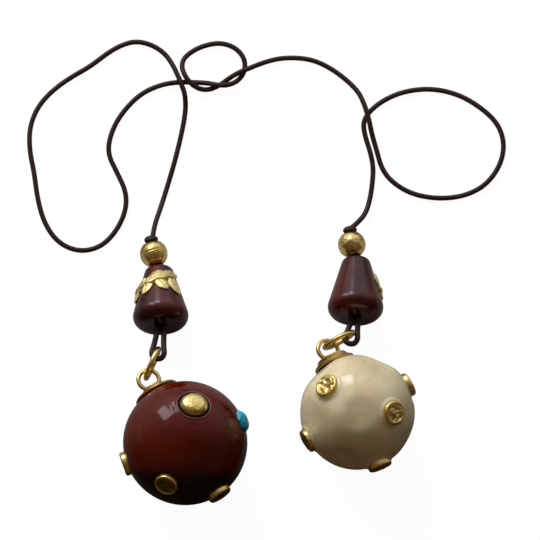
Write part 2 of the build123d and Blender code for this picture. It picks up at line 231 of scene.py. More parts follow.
satinGold = newGold("satinGold", {"rough": 0.17, "dirt": 0.35, "relief": 0.35})
rubbedGold = newGold("rubbedGold", {"rough": 0.24, "dirt": 0.75, "relief": 0.6})
agedGold = newGold("agedGold", {
    "bright": (0.70, 0.49, 0.18, 1),
    "worn": (0.44, 0.28, 0.085, 1),
    "rough": 0.25,
    "dirt": 0.9,
    "relief": 0.6,
})
grainyGold = newGold("grainyGold", {
    "bright": (0.98, 0.86, 0.44, 1),
    "worn": (0.86, 0.68, 0.27, 1),
    "patina": (0.42, 0.28, 0.08, 1),
    "cloudScale": 500.0,
    "grainScale": 2200.0,
    "reliefDepth": 0.16 * mm,
    "rough": 0.30,
    "dirt": 0.6,
    "relief": 0.9,
})

brownFinish = {
    "deep": (0.036, 0.0040, 0.0022, 1),
    "warm": (0.088, 0.0062, 0.0010, 1),
    "red": (0.070, 0.0030, 0.0008, 1),
    # painted shade: the recess round the domed stud is coloured near black
    "moat": (0.004, 0.0010, 0.0008, 1),
    # painted highlight: a pale ring on the lip round the recess
    "lip": (0.36, 0.20, 0.17, 1),
    # painted shade: the near-black colour of the ball's lower side
    "under": (0.0140, 0.0018, 0.0010, 1),
    # painted shade: the ball's colour turns to the under tone below this slanting plane, softly
    "shadeWay": (0.04, 0.955, 0.208),
    "shadeFrom": -11.5 * mm,
    "shadeTo": -6.5 * mm,
    "shadeWaver": 6 * mm,
    "cloudScale": 45.0,
    "driftScale": 103.5,
    "waveScale": 260.0,
    "warmEdges": (0.36, 0.66),
    "deepPatch": (0.50, 0.78, 0.6),
    "moatShadeShare": 0.95,
    "lipHighlightShare": 0.6,
    "rough": 0.07,
    "driftRough": 0.10,
    "moatRough": 0.5,
    "relief": 0.45,
    "reliefDepth": 0.32 * mm,
    "base": {"IOR": 1.40},
}


def paintBrown(net, spot):
    look = brownFinish
    cloud = net.cloud(spot, look["cloudScale"], 2.0)
    drift = net.cloud(spot, look["driftScale"], 3.0, 0.6)
    moat = net.stored("moat")
    colour = net.tint(net.between(cloud, *look["warmEdges"]), look["red"], look["warm"])
    colour = net.patched(colour, look["deep"], drift, look["deepPatch"])
    # painted shade: below a slanting plane through the ball's middle, wavered by the cloud, the colour
    # turns to the under tone
    inputs = {0: spot, 1: tuple(places["left"]["ball"])}
    offset = net.add("ShaderNodeVectorMath", {"operation": "SUBTRACT"}, inputs, "Vector")
    inputs = {0: offset, 1: look["shadeWay"]}
    height = net.add("ShaderNodeVectorMath", {"operation": "DOT_PRODUCT"}, inputs, "Value")
    height = height + (cloud - 0.5) * look["shadeWaver"]
    colour = net.tint(net.between(height, look["shadeFrom"], look["shadeTo"]), look["under"], colour)
    # painted shade in the recess round the domed stud
    colour = net.tint(moat * look["moatShadeShare"], colour, look["moat"])
    # painted highlight on the lip round the recess
    colour = net.tint(net.stored("lip") * look["lipHighlightShare"], colour, look["lip"])
    rough = look["rough"] + look["driftRough"] * drift + look["moatRough"] * moat
    return shaded(net, look, colour, rough, net.cloud(spot, look["waveScale"], 1.0))


brownResin = newFinish("brownResin", paintBrown)

bellFinish = {
    "deep": (0.022, 0.0026, 0.0022, 1),
    "red": (0.068, 0.0052, 0.0034, 1),
    "streak": (0.100, 0.0095, 0.0055, 1),
    "cloudScale": 70.0,
    "streakScale": 160.0,
    "streakStretch": (1.0, 0.22, 1.0),
    "deepEdges": (0.38, 0.62),
    "streakPatch": (0.55, 0.75, 0.55),
    "rough": 0.12,
    "cloudRough": 0.12,
    "relief": 0.25,
    "reliefDepth": 0.08 * mm,
    "base": {"IOR": 1.5},
}


def paintBell(net, spot):
    look = bellFinish
    cloud = net.cloud(spot, look["cloudScale"], 3.0, 0.55)
    squeeze = net.add("ShaderNodeMapping", {}, {"Vector": spot, "Scale": look["streakStretch"]})
    streak = net.cloud(squeeze, look["streakScale"], 3.0, 0.6)
    colour = net.tint(net.between(cloud, *look["deepEdges"]), look["red"], look["deep"])
    colour = net.patched(colour, look["streak"], streak, look["streakPatch"])
    return shaded(net, look, colour, look["rough"] + look["cloudRough"] * cloud, streak)


bellResin = newFinish("bellResin", paintBell)

creamFinish = {
    "pale": (0.74, 0.65, 0.42, 1),
    "sand": (0.54, 0.43, 0.24, 1),
    "pink": (0.64, 0.43, 0.26, 1),
    "green": (0.54, 0.50, 0.29, 1),
    "smudge": (0.26, 0.22, 0.15, 1),
    "cloudScale": 60.0,
    "pinkScale": 96.0,
    "greenScale": 78.0,
    "greenShift": (0.3, 0.1, 0.2),
    "smudgeScale": 540.0,
    "sandEdges": (0.35, 0.65),
    "pinkPatch": (0.52, 0.72, 0.4),
    "greenPatch": (0.55, 0.75, 0.6),
    "smudgePatch": (0.62, 0.74, 0.45),
    "rough": 0.09,
    "cloudRough": 0.14,
    "relief": 0.3,
    "reliefDepth": 0.12 * mm,
    "base": {
        "IOR": 1.72,
        "Subsurface Weight": 0.12,
        "Subsurface Radius": (0.003, 0.002, 0.001),
        "Subsurface Scale": 1.0,
    },
}


def paintCream(net, spot):
    look = creamFinish
    cloud = net.cloud(spot, look["cloudScale"], 3.0, 0.55)
    pinkish = net.cloud(spot, look["pinkScale"], 2.0)
    shifted = net.add("ShaderNodeMapping", {}, {"Vector": spot, "Location": look["greenShift"]})
    greenish = net.cloud(shifted, look["greenScale"], 2.0)
    mark = net.cloud(spot, look["smudgeScale"], 4.0, 0.7)
    colour = net.tint(net.between(cloud, *look["sandEdges"]), look["pale"], look["sand"])
    colour = net.patched(colour, look["pink"], pinkish, look["pinkPatch"])
    colour = net.patched(colour, look["green"], greenish, look["greenPatch"])
    colour = net.patched(colour, look["smudge"], mark, look["smudgePatch"])
    return shaded(net, look, colour, look["rough"] + look["cloudRough"] * cloud, pinkish)


creamResin = newFinish("creamResin", paintCream)

cordFinish = {
    "ridge": (0.034, 0.0130, 0.0100, 1),
    # painted shade: the plait's grooves are coloured darker than its ridges
    "groove": (0.010, 0.0038, 0.0032, 1),
    "rubbed": (0.065, 0.028, 0.020, 1),
    "cloudScale": 220.0,
    "grainScale": 5000.0,
    "rubbedEdges": (0.52, 0.72),
    "rubbedShare": 0.6,
    "rough": 0.52,
    "ridgePolish": 0.12,
    "relief": 0.4,
    "reliefDepth": 0.03 * mm,
    "base": {"IOR": 1.38},
}


def paintCord(net, spot):
    look = cordFinish
    plait = net.stored("plait")
    cloud = net.cloud(spot, look["cloudScale"], 3.0, 0.6)
    # painted shade, darker in the plait's grooves
    colour = net.tint(net.clamped(plait), look["groove"], look["ridge"])
    rubbed = net.between(cloud, *look["rubbedEdges"]) * plait * look["rubbedShare"]
    colour = net.tint(rubbed, colour, look["rubbed"])
    rough = look["rough"] - look["ridgePolish"] * plait
    return shaded(net, look, colour, rough, net.cloud(spot, look["grainScale"], 2.0))


waxedCord = newFinish("waxedCord", paintCord)

stoneFinish = {
    "clear": (0.000, 0.290, 0.430, 1),
    "pale": (0.004, 0.420, 0.560, 1),
    "vein": (0.001, 0.150, 0.215, 1),
    "cloudScale": 380.0,
    "veinScale": 620.0,
    "paleEdges": (0.35, 0.7),
    "veinWidth": 0.05,
    "veinShare": 0.35,
    "rough": 0.10,
    "cloudRough": 0.1,
    "ior": 1.45,
}


def paintStone(net, spot):
    look = stoneFinish
    cloud = net.cloud(spot, look["cloudScale"], 3.0, 0.6)
    inputs = {"Vector": spot, "Scale": look["veinScale"]}
    edge = net.add("ShaderNodeTexVoronoi", {"feature": "DISTANCE_TO_EDGE"}, inputs)
    vein = 1 - net.between(edge, 0.0, look["veinWidth"])
    colour = net.tint(net.between(cloud, *look["paleEdges"]), look["clear"], look["pale"])
    colour = net.tint(vein * look["veinShare"], colour, look["vein"])
    rough = look["rough"] + look["cloudRough"] * cloud
    inputs = {"Base Color": colour, "Roughness": rough, "IOR": look["ior"]}
    return net.add("ShaderNodeBsdfPrincipled", {}, inputs)


turquoise = newFinish("turquoise", paintStone)
print("finishes made")


# mesh helpers; sizes inside them are in millimetres

def roundedOutline(corners, steps=6):
    # corners are radius, height and, if rounded, the rounding; the outline is closed
    made = []
    for index, corner in enumerate(corners):
        here = Vector(corner[:2])
        rounding = corner[2] if len(corner) > 2 else 0
        before = (Vector(corners[index - 1][:2]) - here).normalized()
        after = (Vector(corners[(index + 1) % len(corners)][:2]) - here).normalized()
        if not rounding:
            made.append(here)
            continue
        half = before.angle(after) / 2
        centre = here + (before + after).normalized() * (rounding / math.sin(half))
        first = here + before * (rounding / math.tan(half)) - centre
        last = here + after * (rounding / math.tan(half)) - centre
        turn = first.angle_signed(last)
        for step in range(steps + 1):
            made.append(centre + Matrix.Rotation(-turn * step / steps, 2) @ first)
    return made


def filled(outline, longest, closed=True):
    # the same outline with no stretch longer than longest
    made = []
    ends = outline[1:] + outline[:1] if closed else outline[1:]
    for first, last in zip(outline, ends):
        parts = max(1, math.ceil((last - first).length / longest))
        made += [first.lerp(last, part / parts) for part in range(parts)]
    return made if closed else made + [outline[-1]]


def lathe(outline, sides, closed=True):
    bm = bmesh.new()
    turns = [2 * math.pi * side / sides for side in range(sides)]
    rings = []
    for radius, height in outline:
        if radius < 1e-6:
            rings.append([bm.verts.new((0, 0, height))] * sides)
        else:
            spots = [(radius * math.cos(t), radius * math.sin(t), height) for t in turns]
            rings.append([bm.verts.new(spot) for spot in spots])
    for low, high in zip(rings, rings[1:] + rings[:1] if closed else rings[1:]):
        for side in range(sides):
            after = (side + 1) % sides
            corners = [low[side], low[after], high[after], high[side]]
            corners = [c for i, c in enumerate(corners) if c is not corners[i - 1]]
            if len(corners) > 2:
                bm.faces.new(corners)
    bmesh.ops.recalc_face_normals(bm, faces=bm.faces)
    return bm


def pushed(bm, depthAt):
    # moves each point along its normal by what depthAt gives for its place
    bm.normal_update()
    shifts = [(v, v.normal * depthAt(v.co)) for v in bm.verts]
    for vert, shift in shifts:
        vert.co += shift


def ripple(place, size, seed=0.0):
    # smooth noise from -1 to 1 whose features are about size across
    return noise.noise(place / size + Vector((seed, 7.3 * seed, -3.1 * seed)))


def evenDirections(count, seed, jitter=0.25):
    # directions spread over a ball, a little out of step
    draw = random.Random(seed)
    made = []
    for index in range(count):
        height = 1 - 2 * (index + 0.5) / count
        level = math.sqrt(1 - height**2)
        turn = index * math.pi * (3 - math.sqrt(5))
        nudge = Vector([draw.uniform(-jitter, jitter) for _ in range(3)])
        way = Vector((level * math.cos(turn), level * math.sin(turn), height))
        made.append((way + nudge).normalized())
    return made


def hammered(direction, flats, depth):
    # how far out the surface is in a direction: 1 on the round, less on a flat
    nearest = max(direction.dot(flat) for flat in flats)
    return min(1.0, (1 - depth) / nearest)


def meshFrom(bm, where, name):
    bmesh.ops.transform(bm, matrix=where @ Matrix.Scale(mm, 4), verts=bm.verts)
    made = bpy.data.meshes.new(name)
    bm.to_mesh(made)
    bm.free()
    return made


def joined(first, second):
    # the first mesh with the second added to it
    bm = bmesh.new()
    bm.from_mesh(first)
    bm.from_mesh(second)
    bm.to_mesh(first)
    bm.free()
    return first


def newObject(name, data):
    made = bpy.data.objects.new(name, data)
    bpy.context.scene.collection.objects.link(made)
    return made


def finishPiece(name, mesh, body, finish, nodes, smooth=True):
    mesh.materials.clear()
    mesh.materials.append(finish)
    mesh.polygons.foreach_set("use_smooth", [smooth] * len(mesh.polygons))
    piece = newObject(name, mesh)
    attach(piece, body)
    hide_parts(*nodes)
    return piece


# geometry node trees

def newTree(name, sockets):
    tree = bpy.data.node_groups.new(name, "GeometryNodeTree")
    tree.interface.new_socket(name="Geometry", in_out="OUTPUT", socket_type="NodeSocketGeometry")
    tree.interface.new_socket(name="Geometry", in_out="INPUT", socket_type="NodeSocketGeometry")
    names = {}
    for label, kind in sockets:
        socket = tree.interface.new_socket(name=label, in_out="INPUT", socket_type=kind)
        names[label] = socket.identifier
    net = Net(tree)
    return net, net.add("NodeGroupInput"), names


def grown(name, mesh, net, names, settings):
    # the plain mesh that a tree makes of a mesh; the object it grew on is removed
    seed = newObject(name + "Seed", mesh)
    modifier = seed.modifiers.new("grow", "NODES")
    modifier.node_group = net.tree
    for label, value in settings.items():
        modifier[names[label]] = value
    bpy.context.view_layer.update()
    evaluated = seed.evaluated_get(bpy.context.evaluated_depsgraph_get())
    made = bpy.data.meshes.new_from_object(evaluated)
    seed.modifiers.clear()
    bpy.data.objects.remove(seed)
    return made


def keep(net, geometry, name, value):
    settings = {"data_type": "FLOAT", "domain": "POINT"}
    inputs = {"Geometry": geometry, "Name": name, "Value": value}
    return net.add("GeometryNodeStoreNamedAttribute", settings, inputs)


def recall(net, name, kind="FLOAT"):
    return net.add("GeometryNodeInputNamedAttribute", {"data_type": kind}, {"Name": name})


def swell(net, geometry, depth):
    # each point moves out along its normal
    inputs = {0: net.add("GeometryNodeInputNormal"), "Scale": depth}
    push = net.add("ShaderNodeVectorMath", {"operation": "SCALE"}, inputs)
    return net.add("GeometryNodeSetPosition", {}, {"Geometry": geometry, "Offset": push})


def endTree(net, geometry, finish):
    made = net.add("GeometryNodeRealizeInstances", {}, {"Geometry": geometry})
    made = net.add("GeometryNodeSetMaterial", {}, {"Geometry": made, "Material": finish})
    net.add("NodeGroupOutput", {}, {"Geometry": made})


# how broad the crest of a strand is, and how steep the groove beside it
plaitShape = {"crest": 1.15, "groove": 2.2}


def makeStrandTree():
    # a cord with a fine plait, or a plain wire, along the edges of a mesh
    sockets = [
        ("Diameter", "NodeSocketFloat"),
        ("Step", "NodeSocketFloat"),
        ("Sides", "NodeSocketInt"),
        ("Plait Depth", "NodeSocketFloat"),
        ("Plait Length", "NodeSocketFloat"),
        ("Plait Strands", "NodeSocketInt"),
        ("Finish", "NodeSocketMaterial"),
    ]
    net, group, names = newTree("strandTree", sockets)
    line = net.add("GeometryNodeMeshToCurve", {}, {"Mesh": group.out("Geometry")})
    inputs = {"Curve": line, "Length": group.out("Step")}
    line = net.add("GeometryNodeResampleCurve", {"mode": "LENGTH"}, inputs)
    line = keep(net, line, "along", net.add("GeometryNodeSplineParameter", output="Length"))
    inputs = {"Radius": group.out("Diameter") * 0.5, "Resolution": group.out("Sides")}
    circle = net.add("GeometryNodeCurvePrimitiveCircle", {"mode": "RADIUS"}, inputs)
    circle = keep(net, circle, "around", net.add("GeometryNodeSplineParameter", output="Factor"))
    inputs = {"Curve": line, "Profile Curve": circle, "Fill Caps": True}
    skin = net.add("GeometryNodeCurveToMesh", {}, inputs)
    # two sets of strands wind opposite ways and pass over each other in turn
    turns = recall(net, "along") / group.out("Plait Length")
    wound = recall(net, "around") * group.out("Plait Strands")
    leftWay = net.sum("COSINE", (wound + turns) * math.pi)
    rightWay = net.sum("COSINE", (wound - turns) * math.pi)
    lower = net.sum("MINIMUM", leftWay * leftWay, rightWay * rightWay)
    plait = net.clamped(plaitShape["crest"] - plaitShape["groove"] * lower)
    skin = keep(net, skin, "plait", plait)
    endTree(net, swell(net, skin, (plait - 1) * group.out("Plait Depth")), group.out("Finish"))
    return net, names


strandNet, strandNames = makeStrandTree()


def strand(name, points, closed, finish, diameter, step, sides, plait=(0.0, 1.0, 2)):
    # points are in metres; plait is its depth and length in millimetres, and its strands
    line = bpy.data.meshes.new(name + "Line")
    edges = [(i, i + 1) for i in range(len(points) - 1)]
    if closed:
        edges.append((len(points) - 1, 0))
    line.from_pydata([tuple(p) for p in points], edges, [])
    depth, length, strands = plait
    settings = {
        "Diameter": diameter * mm,
        "Step": step * mm,
        "Sides": sides,
        "Plait Depth": depth * mm,
        "Plait Length": length * mm,
        "Plait Strands": strands,
        "Finish": finish,
    }
    made = grown(name, line, strandNet, strandNames, settings)
    for attribute in ("along", "around"):
        if attribute in made.attributes:
            made.attributes.remove(made.attributes[attribute])
    return made


def smoothLine(name, points):
    # the points of a NURBS curve whose control points are points, both in metres
    curve = bpy.data.curves.new(name + "Route", "CURVE")
    curve.dimensions = "3D"
    spline = curve.splines.new("NURBS")
    spline.points.add(len(points) - 1)
    for target, point in zip(spline.points, points):
        target.co = (*point, 1)
    spline.use_endpoint_u = True
    spline.order_u = 3
    spline.resolution_u = 10
    holder = newObject(name + "Route", curve)
    bpy.context.view_layer.update()
    evaluated = holder.evaluated_get(bpy.context.evaluated_depsgraph_get())
    line = bpy.data.meshes.new_from_object(evaluated)
    made = [vert.co.copy() for vert in line.vertices]
    bpy.data.objects.remove(holder)
    bpy.data.meshes.remove(line)
    return made


# camera

view = {
    "elevation": 78.0,
    "aim": (0.8, 36.9, 0.0),
    "distance": 6000.0,
    "span": 186.3,
    "sensor": 36.0,
    "clip": (0.1, 50.0),
}


def makeCamera():
    lens = bpy.data.cameras.new("camera")
    lens.sensor_width = view["sensor"]
    lens.lens = view["sensor"] * view["distance"] / view["span"]
    lens.clip_start, lens.clip_end = view["clip"]
    made = newObject("camera", lens)
    tilt = math.radians(view["elevation"])
    back = Vector((0, -math.cos(tilt), math.sin(tilt)))
    made.location = (Vector(view["aim"]) + back * view["distance"]) * mm
    made.rotation_mode = "QUATERNION"
    made.rotation_quaternion = (-back).to_track_quat("-Z", "Y")
    bpy.context.scene.camera = made


makeCamera()
print("camera made")

# the long cord, from knot to knot

cord = {
    "diameter": 1.8,
    "length": 581.0,
    "sides": 20,
    "step": 0.25,
    "plait": (0.07, 0.85, 8),
    "strandOffset": 1.0,
    "boreRadius": 2.1,
    "beadDiameter": 9.6,
    "knotSink": -0.35,
    "knotHeight": 1.75,
    "knotExit": 0.7,
    "knotLean": 8,
}
cordPoints = [
    (-39.1, 51.6, 4.4), (-37.4, 57.0, 2.3), (-35.6, 63.0, 0.9), (-33.6, 69.7, 0.9),
    (-31.7, 76.6, 0.9), (-30.2, 82.9, 0.9), (-28.9, 89.3, 0.9), (-28.3, 94.3, 1.1),
    (-28.6, 98.4, 2.7), (-29.5, 101.0, 3.0), (-30.7, 104.2, 3.0), (-32.7, 108.8, 2.0),
    (-35.4, 113.2, 0.9), (-40.1, 116.4, 0.9), (-45.8, 117.7, 0.9), (-50.9, 116.1, 0.9),
    (-55.4, 113.4, 0.9), (-61.3, 108.7, 0.9), (-68.9, 104.3, 0.9), (-74.8, 99.8, 0.9),
    (-79.6, 94.2, 0.9), (-82.3, 87.1, 0.9), (-82.3, 79.0, 0.9), (-80.6, 70.9, 0.9),
    (-79.6, 62.5, 0.9), (-77.3, 53.6, 0.9), (-72.7, 46.6, 0.9), (-65.8, 43.2, 0.9),
    (-58.5, 44.3, 0.9), (-53.0, 49.2, 0.9), (-49.1, 56.8, 0.9), (-48.7, 63.9, 0.9),
    (-52.0, 71.1, 0.9), (-55.4, 78.0, 0.9), (-54.1, 85.4, 0.9), (-50.3, 92.4, 0.9),
    (-44.0, 99.0, 0.9), (-36.8, 102.3, 0.9), (-30.2, 103.2, 0.9), (-25.4, 103.0, 0.9),
    (-20.9, 102.5, 2.4), (-17.1, 101.5, 3.1), (-13.3, 101.6, 2.9), (-9.8, 103.7, 1.6),
    (-7.8, 107.3, 0.9), (-8.0, 111.7, 0.9), (-11.3, 115.5, 0.9), (-16.4, 117.1, 0.9),
    (-21.6, 116.2, 0.9), (-25.8, 114.3, 0.9), (-29.0, 111.6, 1.1), (-29.8, 108.5, 1.9),
    (-28.8, 105.2, 3.0), (-26.6, 102.1, 3.0), (-23.5, 100.3, 1.9), (-19.8, 100.4, 0.9),
    (-16.1, 102.3, 0.9), (-12.7, 104.7, 2.1), (-9.4, 106.3, 3.2), (-6.4, 107.5, 3.1),
    (-2.0, 109.7, 1.6), (3.6, 111.5, 0.9), (10.1, 111.8, 0.9), (16.3, 110.8, 0.9),
    (22.5, 107.6, 0.9), (27.7, 103.5, 0.9), (31.5, 99.3, 1.8), (33.4, 94.8, 3.0),
    (35.0, 89.5, 3.0), (35.9, 84.9, 1.5), (37.7, 78.7, 0.9), (39.3, 72.7, 0.9),
    (42.5, 68.1, 0.9), (49.1, 63.7, 0.9), (58.1, 61.8, 0.9), (67.4, 62.6, 0.9),
    (75.0, 66.3, 0.9), (80.2, 73.2, 0.9), (81.9, 80.8, 0.9), (79.8, 88.2, 0.9),
    (73.9, 94.0, 0.9), (66.0, 98.8, 0.9), (56.7, 100.9, 0.9), (47.7, 100.0, 0.9),
    (40.8, 97.2, 0.9), (35.6, 93.3, 0.9), (32.9, 89.1, 0.9), (33.6, 84.0, 0.9),
    (35.5, 78.3, 0.9), (36.5, 72.9, 0.9), (36.2, 67.8, 0.9), (35.5, 62.6, 0.9),
    (34.2, 57.4, 1.5), (32.0, 53.6, 3.9),
]


def knotPlace(side):
    # the bead's frame, leant a little towards the side the cord leaves by
    return places[side]["bead"] @ Matrix.Rotation(math.radians(cord["knotLean"]), 4, "Y")


def knotPoints(side):
    # where the knot sits on the bead, and where the long cord leaves it
    seat = math.sqrt((cord["beadDiameter"] / 2) ** 2 - cord["boreRadius"] ** 2)
    away = seat + cord["knotSink"] + cord["knotHeight"]
    leaving = knotPlace(side) @ (Vector((cord["knotExit"], 0, away)) * mm)
    return [places[side]["bead"] @ (Vector((0, 0, seat)) * mm), leaving]


def makeCord():
    leftExit, rightExit = knotPoints("left")[1], knotPoints("right")[1]
    path = smoothLine("longCord", [leftExit, *[Vector(p) * mm for p in cordPoints], rightExit])
    sizes = (cord["diameter"], cord["step"], cord["sides"], cord["plait"])
    mesh = strand("longCord", path, False, waxedCord, *sizes)
    piece = finishPiece("longCord", mesh, "cord", waxedCord, ["long_cord"])
    return piece, path, leftExit


longCord, longPath, cordExit = makeCord()
print("cord made:", len(longCord.data.polygons), "faces")

# stopper knots, pulled tight

knot = {
    "wide": 1.75,
    "narrow": 0.80,
    "tightening": 1.5,
    "turns": 2.6,
    "pitch": 0.36,
    "points": 90,
    "diameter": 1.7,
    "start": 200,
    "step": 0.2,
}


def makeKnot(side):
    # the cord wound on itself against the bead, each turn a little tighter than the last
    foot = math.sqrt((cord["beadDiameter"] / 2) ** 2 - cord["boreRadius"] ** 2) + cord["knotSink"]
    line = []
    for step in range(knot["points"] + 1):
        share = step / knot["points"]
        turn = math.radians(knot["start"]) + 2 * math.pi * knot["turns"] * share
        reach = knot["wide"] + (knot["narrow"] - knot["wide"]) * share ** knot["tightening"]
        height = foot + knot["diameter"] / 2 + knot["pitch"] * knot["turns"] * share
        spot = Vector((reach * math.cos(turn), reach * math.sin(turn), height))
        line.append(knotPlace(side) @ (spot * mm))
    name = side + "Knot"
    sizes = (knot["diameter"], knot["step"], cord["sides"], cord["plait"])
    mesh = strand(name, line, False, waxedCord, *sizes)
    return finishPiece(name, mesh, "cord", waxedCord, [side + "_knot"])


knots = [makeKnot(side) for side in places]
tuple(cordExit)
[tuple(p) for p in longPath]

# bell beads and the doubled cord ends that pass through them

bell = {
    "length": 22.4,
    "topRadius": 4.6,
    "baseRadius": 10.9,
    "shoulder": 2.2,
    "baseRounding": 4.0,
    "boreRadius": 2.1,
    "boreEdge": 0.4,
    "sides": 128,
    "step": 0.5,
    "waver": 0.06,
    "waverSize": 7.0,
    "seed": {"left": 1.7, "right": 4.2},
}


# from each knot through bead and bell, round the jump ring and back
cordLoop = {
    "slack": {"left": 0.8, "right": 1.6},
    "hold": 0.1,
    "diameter": 2.0,
    "step": 0.2,
    # shares of the way from knot to bell, and from the bell's top to its base
    "inBead": 0.6,
    "inBell": (0.2, 0.7),
    # from the middle of the bend: how far along and how far to the side its corners are
    "corners": ((-2.6, 1.65), (0.0, 2.3), (2.25, 1.35)),
}


def makeCordLoop(side):
    place = places[side]
    beadSide, bellSide = place["bead"].col[0].to_3d(), place["bell"].col[0].to_3d()
    along = place["bell"].col[2].to_3d()
    top = place["bell"].translation
    base = top + along * (bell["length"] * mm)
    down = (place["hitch"] - base).normalized()
    bendSide = Vector((-down.y, down.x, 0)).normalized()
    bend = place["hitch"] + down * ((cordLoop["slack"][side] - cordLoop["hold"]) * mm)
    knotSpot = knotPoints(side)[0]
    arms = []
    for way in (1, -1):
        offset = cord["strandOffset"] * mm * way
        middle = (beadSide + bellSide).normalized()
        lower = (bellSide + bendSide).normalized()
        arm = [
            knotSpot + beadSide * offset,
            knotSpot.lerp(top, cordLoop["inBead"]) + beadSide * offset,
            top + middle * offset,
            *[top.lerp(base, share) + bellSide * offset for share in cordLoop["inBell"]],
            base + lower * offset,
        ]
        for far, out in cordLoop["corners"]:
            arm.append(bend + down * (far * mm) + bendSide * (out * mm * way))
        arms.append(arm)
    name = side + "CordLoop"
    path = smoothLine(name, [*arms[0], *reversed(arms[1])])
    sizes = (cordLoop["diameter"], cordLoop["step"], cord["sides"], cord["plait"])
    mesh = strand(name, path, False, waxedCord, *sizes)
    finishPiece(name, mesh, "cord", waxedCord, [side + "_cord_loop"])


for side in places:
    makeCordLoop(side)
print("knots and doubled ends made")

# gold beads

bead = {
    "radius": 4.8,
    "boreRadius": 2.1,
    "edge": 0.4,
    "sides": 144,
    "step": 0.16,
    "lines": (-1.55, -0.75, 0.05, 0.85),
    "lineWidth": 0.20,
    "lineDepth": 0.10,
    "lineWaver": 0.05,
    # rows of short strokes, turned a little from row to row, on a panel about the middle
    "strokes": 46,
    "strokeTurn": 2.2,
    "strokeRow": 0.8,
    "strokeDepth": 0.09,
    "panelTop": 3.0,
    "panelFall": 1.571,
    "flats": 84,
    "flatDepth": 0.030,
    "seed": {"left": 11, "right": 5},
}


def ballOutline(radius, bore, step):
    # half a circle from one mouth of the bore to the other
    start = math.asin(bore / radius)
    count = math.ceil((math.pi - 2 * start) * radius / step)
    turns = [start + (math.pi - 2 * start) * i / count for i in range(count + 1)]
    return [Vector((radius * math.sin(t), radius * math.cos(t))) for t in turns]


def makeBead(side):
    outside = ballOutline(bead["radius"], bead["boreRadius"] + bead["edge"], bead["step"])
    mouth = outside[0].y - bead["edge"] * 0.4
    bore = [Vector((bead["boreRadius"], -mouth)), Vector((bead["boreRadius"], mouth))]
    lip = bead["boreRadius"] + bead["edge"] * 0.3
    lips = [Vector((lip, outside[0].y - 0.02)), Vector((lip, 0.02 - outside[0].y))]
    bm = lathe([lips[0], *outside, lips[1], *filled(bore, 1.0, False)], bead["sides"])
    flats = evenDirections(bead["flats"], bead["seed"][side])

    def scribed(spot):
        depth = 0.0
        for line in bead["lines"]:
            height = line + bead["lineWaver"] * ripple(spot, 1.3, line)
            depth += bead["lineDepth"] * math.exp(-(((spot.z - height) / bead["lineWidth"]) ** 2))
        panel = max(0.0, min(1.0, bead["panelTop"] - bead["panelFall"] * abs(spot.z)))
        row = math.floor((spot.z + 8) / bead["strokeRow"])
        turn = math.atan2(spot.y, spot.x) * bead["strokes"] + bead["strokeTurn"] * row
        stroke = max(0.0, math.cos(turn)) ** 4
        return -depth - bead["strokeDepth"] * stroke * panel + 0.02 * ripple(spot, 0.8)

    def beaten(spot):
        share = hammered(spot.normalized(), flats, bead["flatDepth"])
        return (share - 1) * bead["radius"] + 0.012 * ripple(spot, 0.7)

    relief, wide = scribed if side == "left" else beaten, bead["boreRadius"] + bead["edge"]
    pushed(bm, lambda spot: relief(spot) if spot.xy.length >= wide else 0.0)
    mesh = meshFrom(bm, places[side]["bead"], side + "Bead")
    finishPiece(side + "Bead", mesh, side + "_bead", satinGold, [side + "_gold_bead"])


for side in places:
    makeBead(side)
print("gold beads made")

# bell beads

def flank(along):
    return bell["topRadius"] + (bell["baseRadius"] - bell["topRadius"]) * along / bell["length"]


def makeBell(side):
    corners = [
        (bell["boreRadius"], 0, bell["boreEdge"]),
        (bell["topRadius"], 0, bell["shoulder"]),
        (bell["baseRadius"], bell["length"], bell["baseRounding"]),
        (bell["boreRadius"], bell["length"], bell["boreEdge"]),
    ]
    bm = lathe(filled(roundedOutline(corners, 14), bell["step"]), bell["sides"])

    def worn(spot):
        onSkin = min(1.0, max(0.0, spot.xy.length - bell["boreRadius"] - 0.6))
        unevenness = 1 + ripple(spot, bell["waverSize"], bell["seed"][side])
        return -bell["waver"] * onSkin * unevenness / 2

    pushed(bm, worn)
    mesh = meshFrom(bm, places[side]["bell"], side + "Bell")
    finishPiece(side + "Bell", mesh, side + "_bell", bellResin, [side + "_bell"])


for side in places:
    makeBell(side)
print("bells made")

# leaf sprigs on the bells

sprig = {
    "leafLength": 8.0,
    "leafWidth": 4.6,
    "thickness": 0.95,
    "steps": (56, 30),
    "grain": 0.09,
    "grainSize": 0.35,
    "rim": 0.12,
    "foot": 0.02,
    "ribDepth": 0.22,
    "ribWidth": 0.10,
    "veinDepth": 0.10,
    "veins": 2.2,
    "veinSlant": 0.9,
    "seed": {"left": 0.5, "right": 20.5},
    "stemDiameter": 1.9,
    "stemRise": 0.35,
    "stemSteps": 60,
    "stemWave": 0.25,
    # turn about the bell in degrees, place along it, lean in degrees and size
    "leaves": {
        "left": [
            (-84, 10.6, 28, 0.95),
            (-62, 8.4, 150, 0.8),
            (-36, 9.4, -12, 0.95),
            (-12, 6.4, 140, 0.9),
            (6, 9.2, 34, 0.85),
            (30, 5.4, 120, 0.8),
            (44, 9.4, 14, 0.95),
        ],
        "right": [
            (84, 9.4, 30, 0.8),
            (98, 12.0, -24, 0.9),
            (116, 10.0, 140, 0.75),
            (126, 13.2, 20, 0.75),
        ],
    },
    # from and to in degrees, place along the bell and lean
    "stem": {"left": (-92, 56, 7.4, 18), "right": (78, 130, 10.8, -10)},
}


def onBell(turn, along, height):
    # a spot over the bell's skin; turn is in radians from its upper side towards +X
    radius = flank(along) + height
    return Vector((radius * math.sin(turn), radius * math.cos(turn), along))


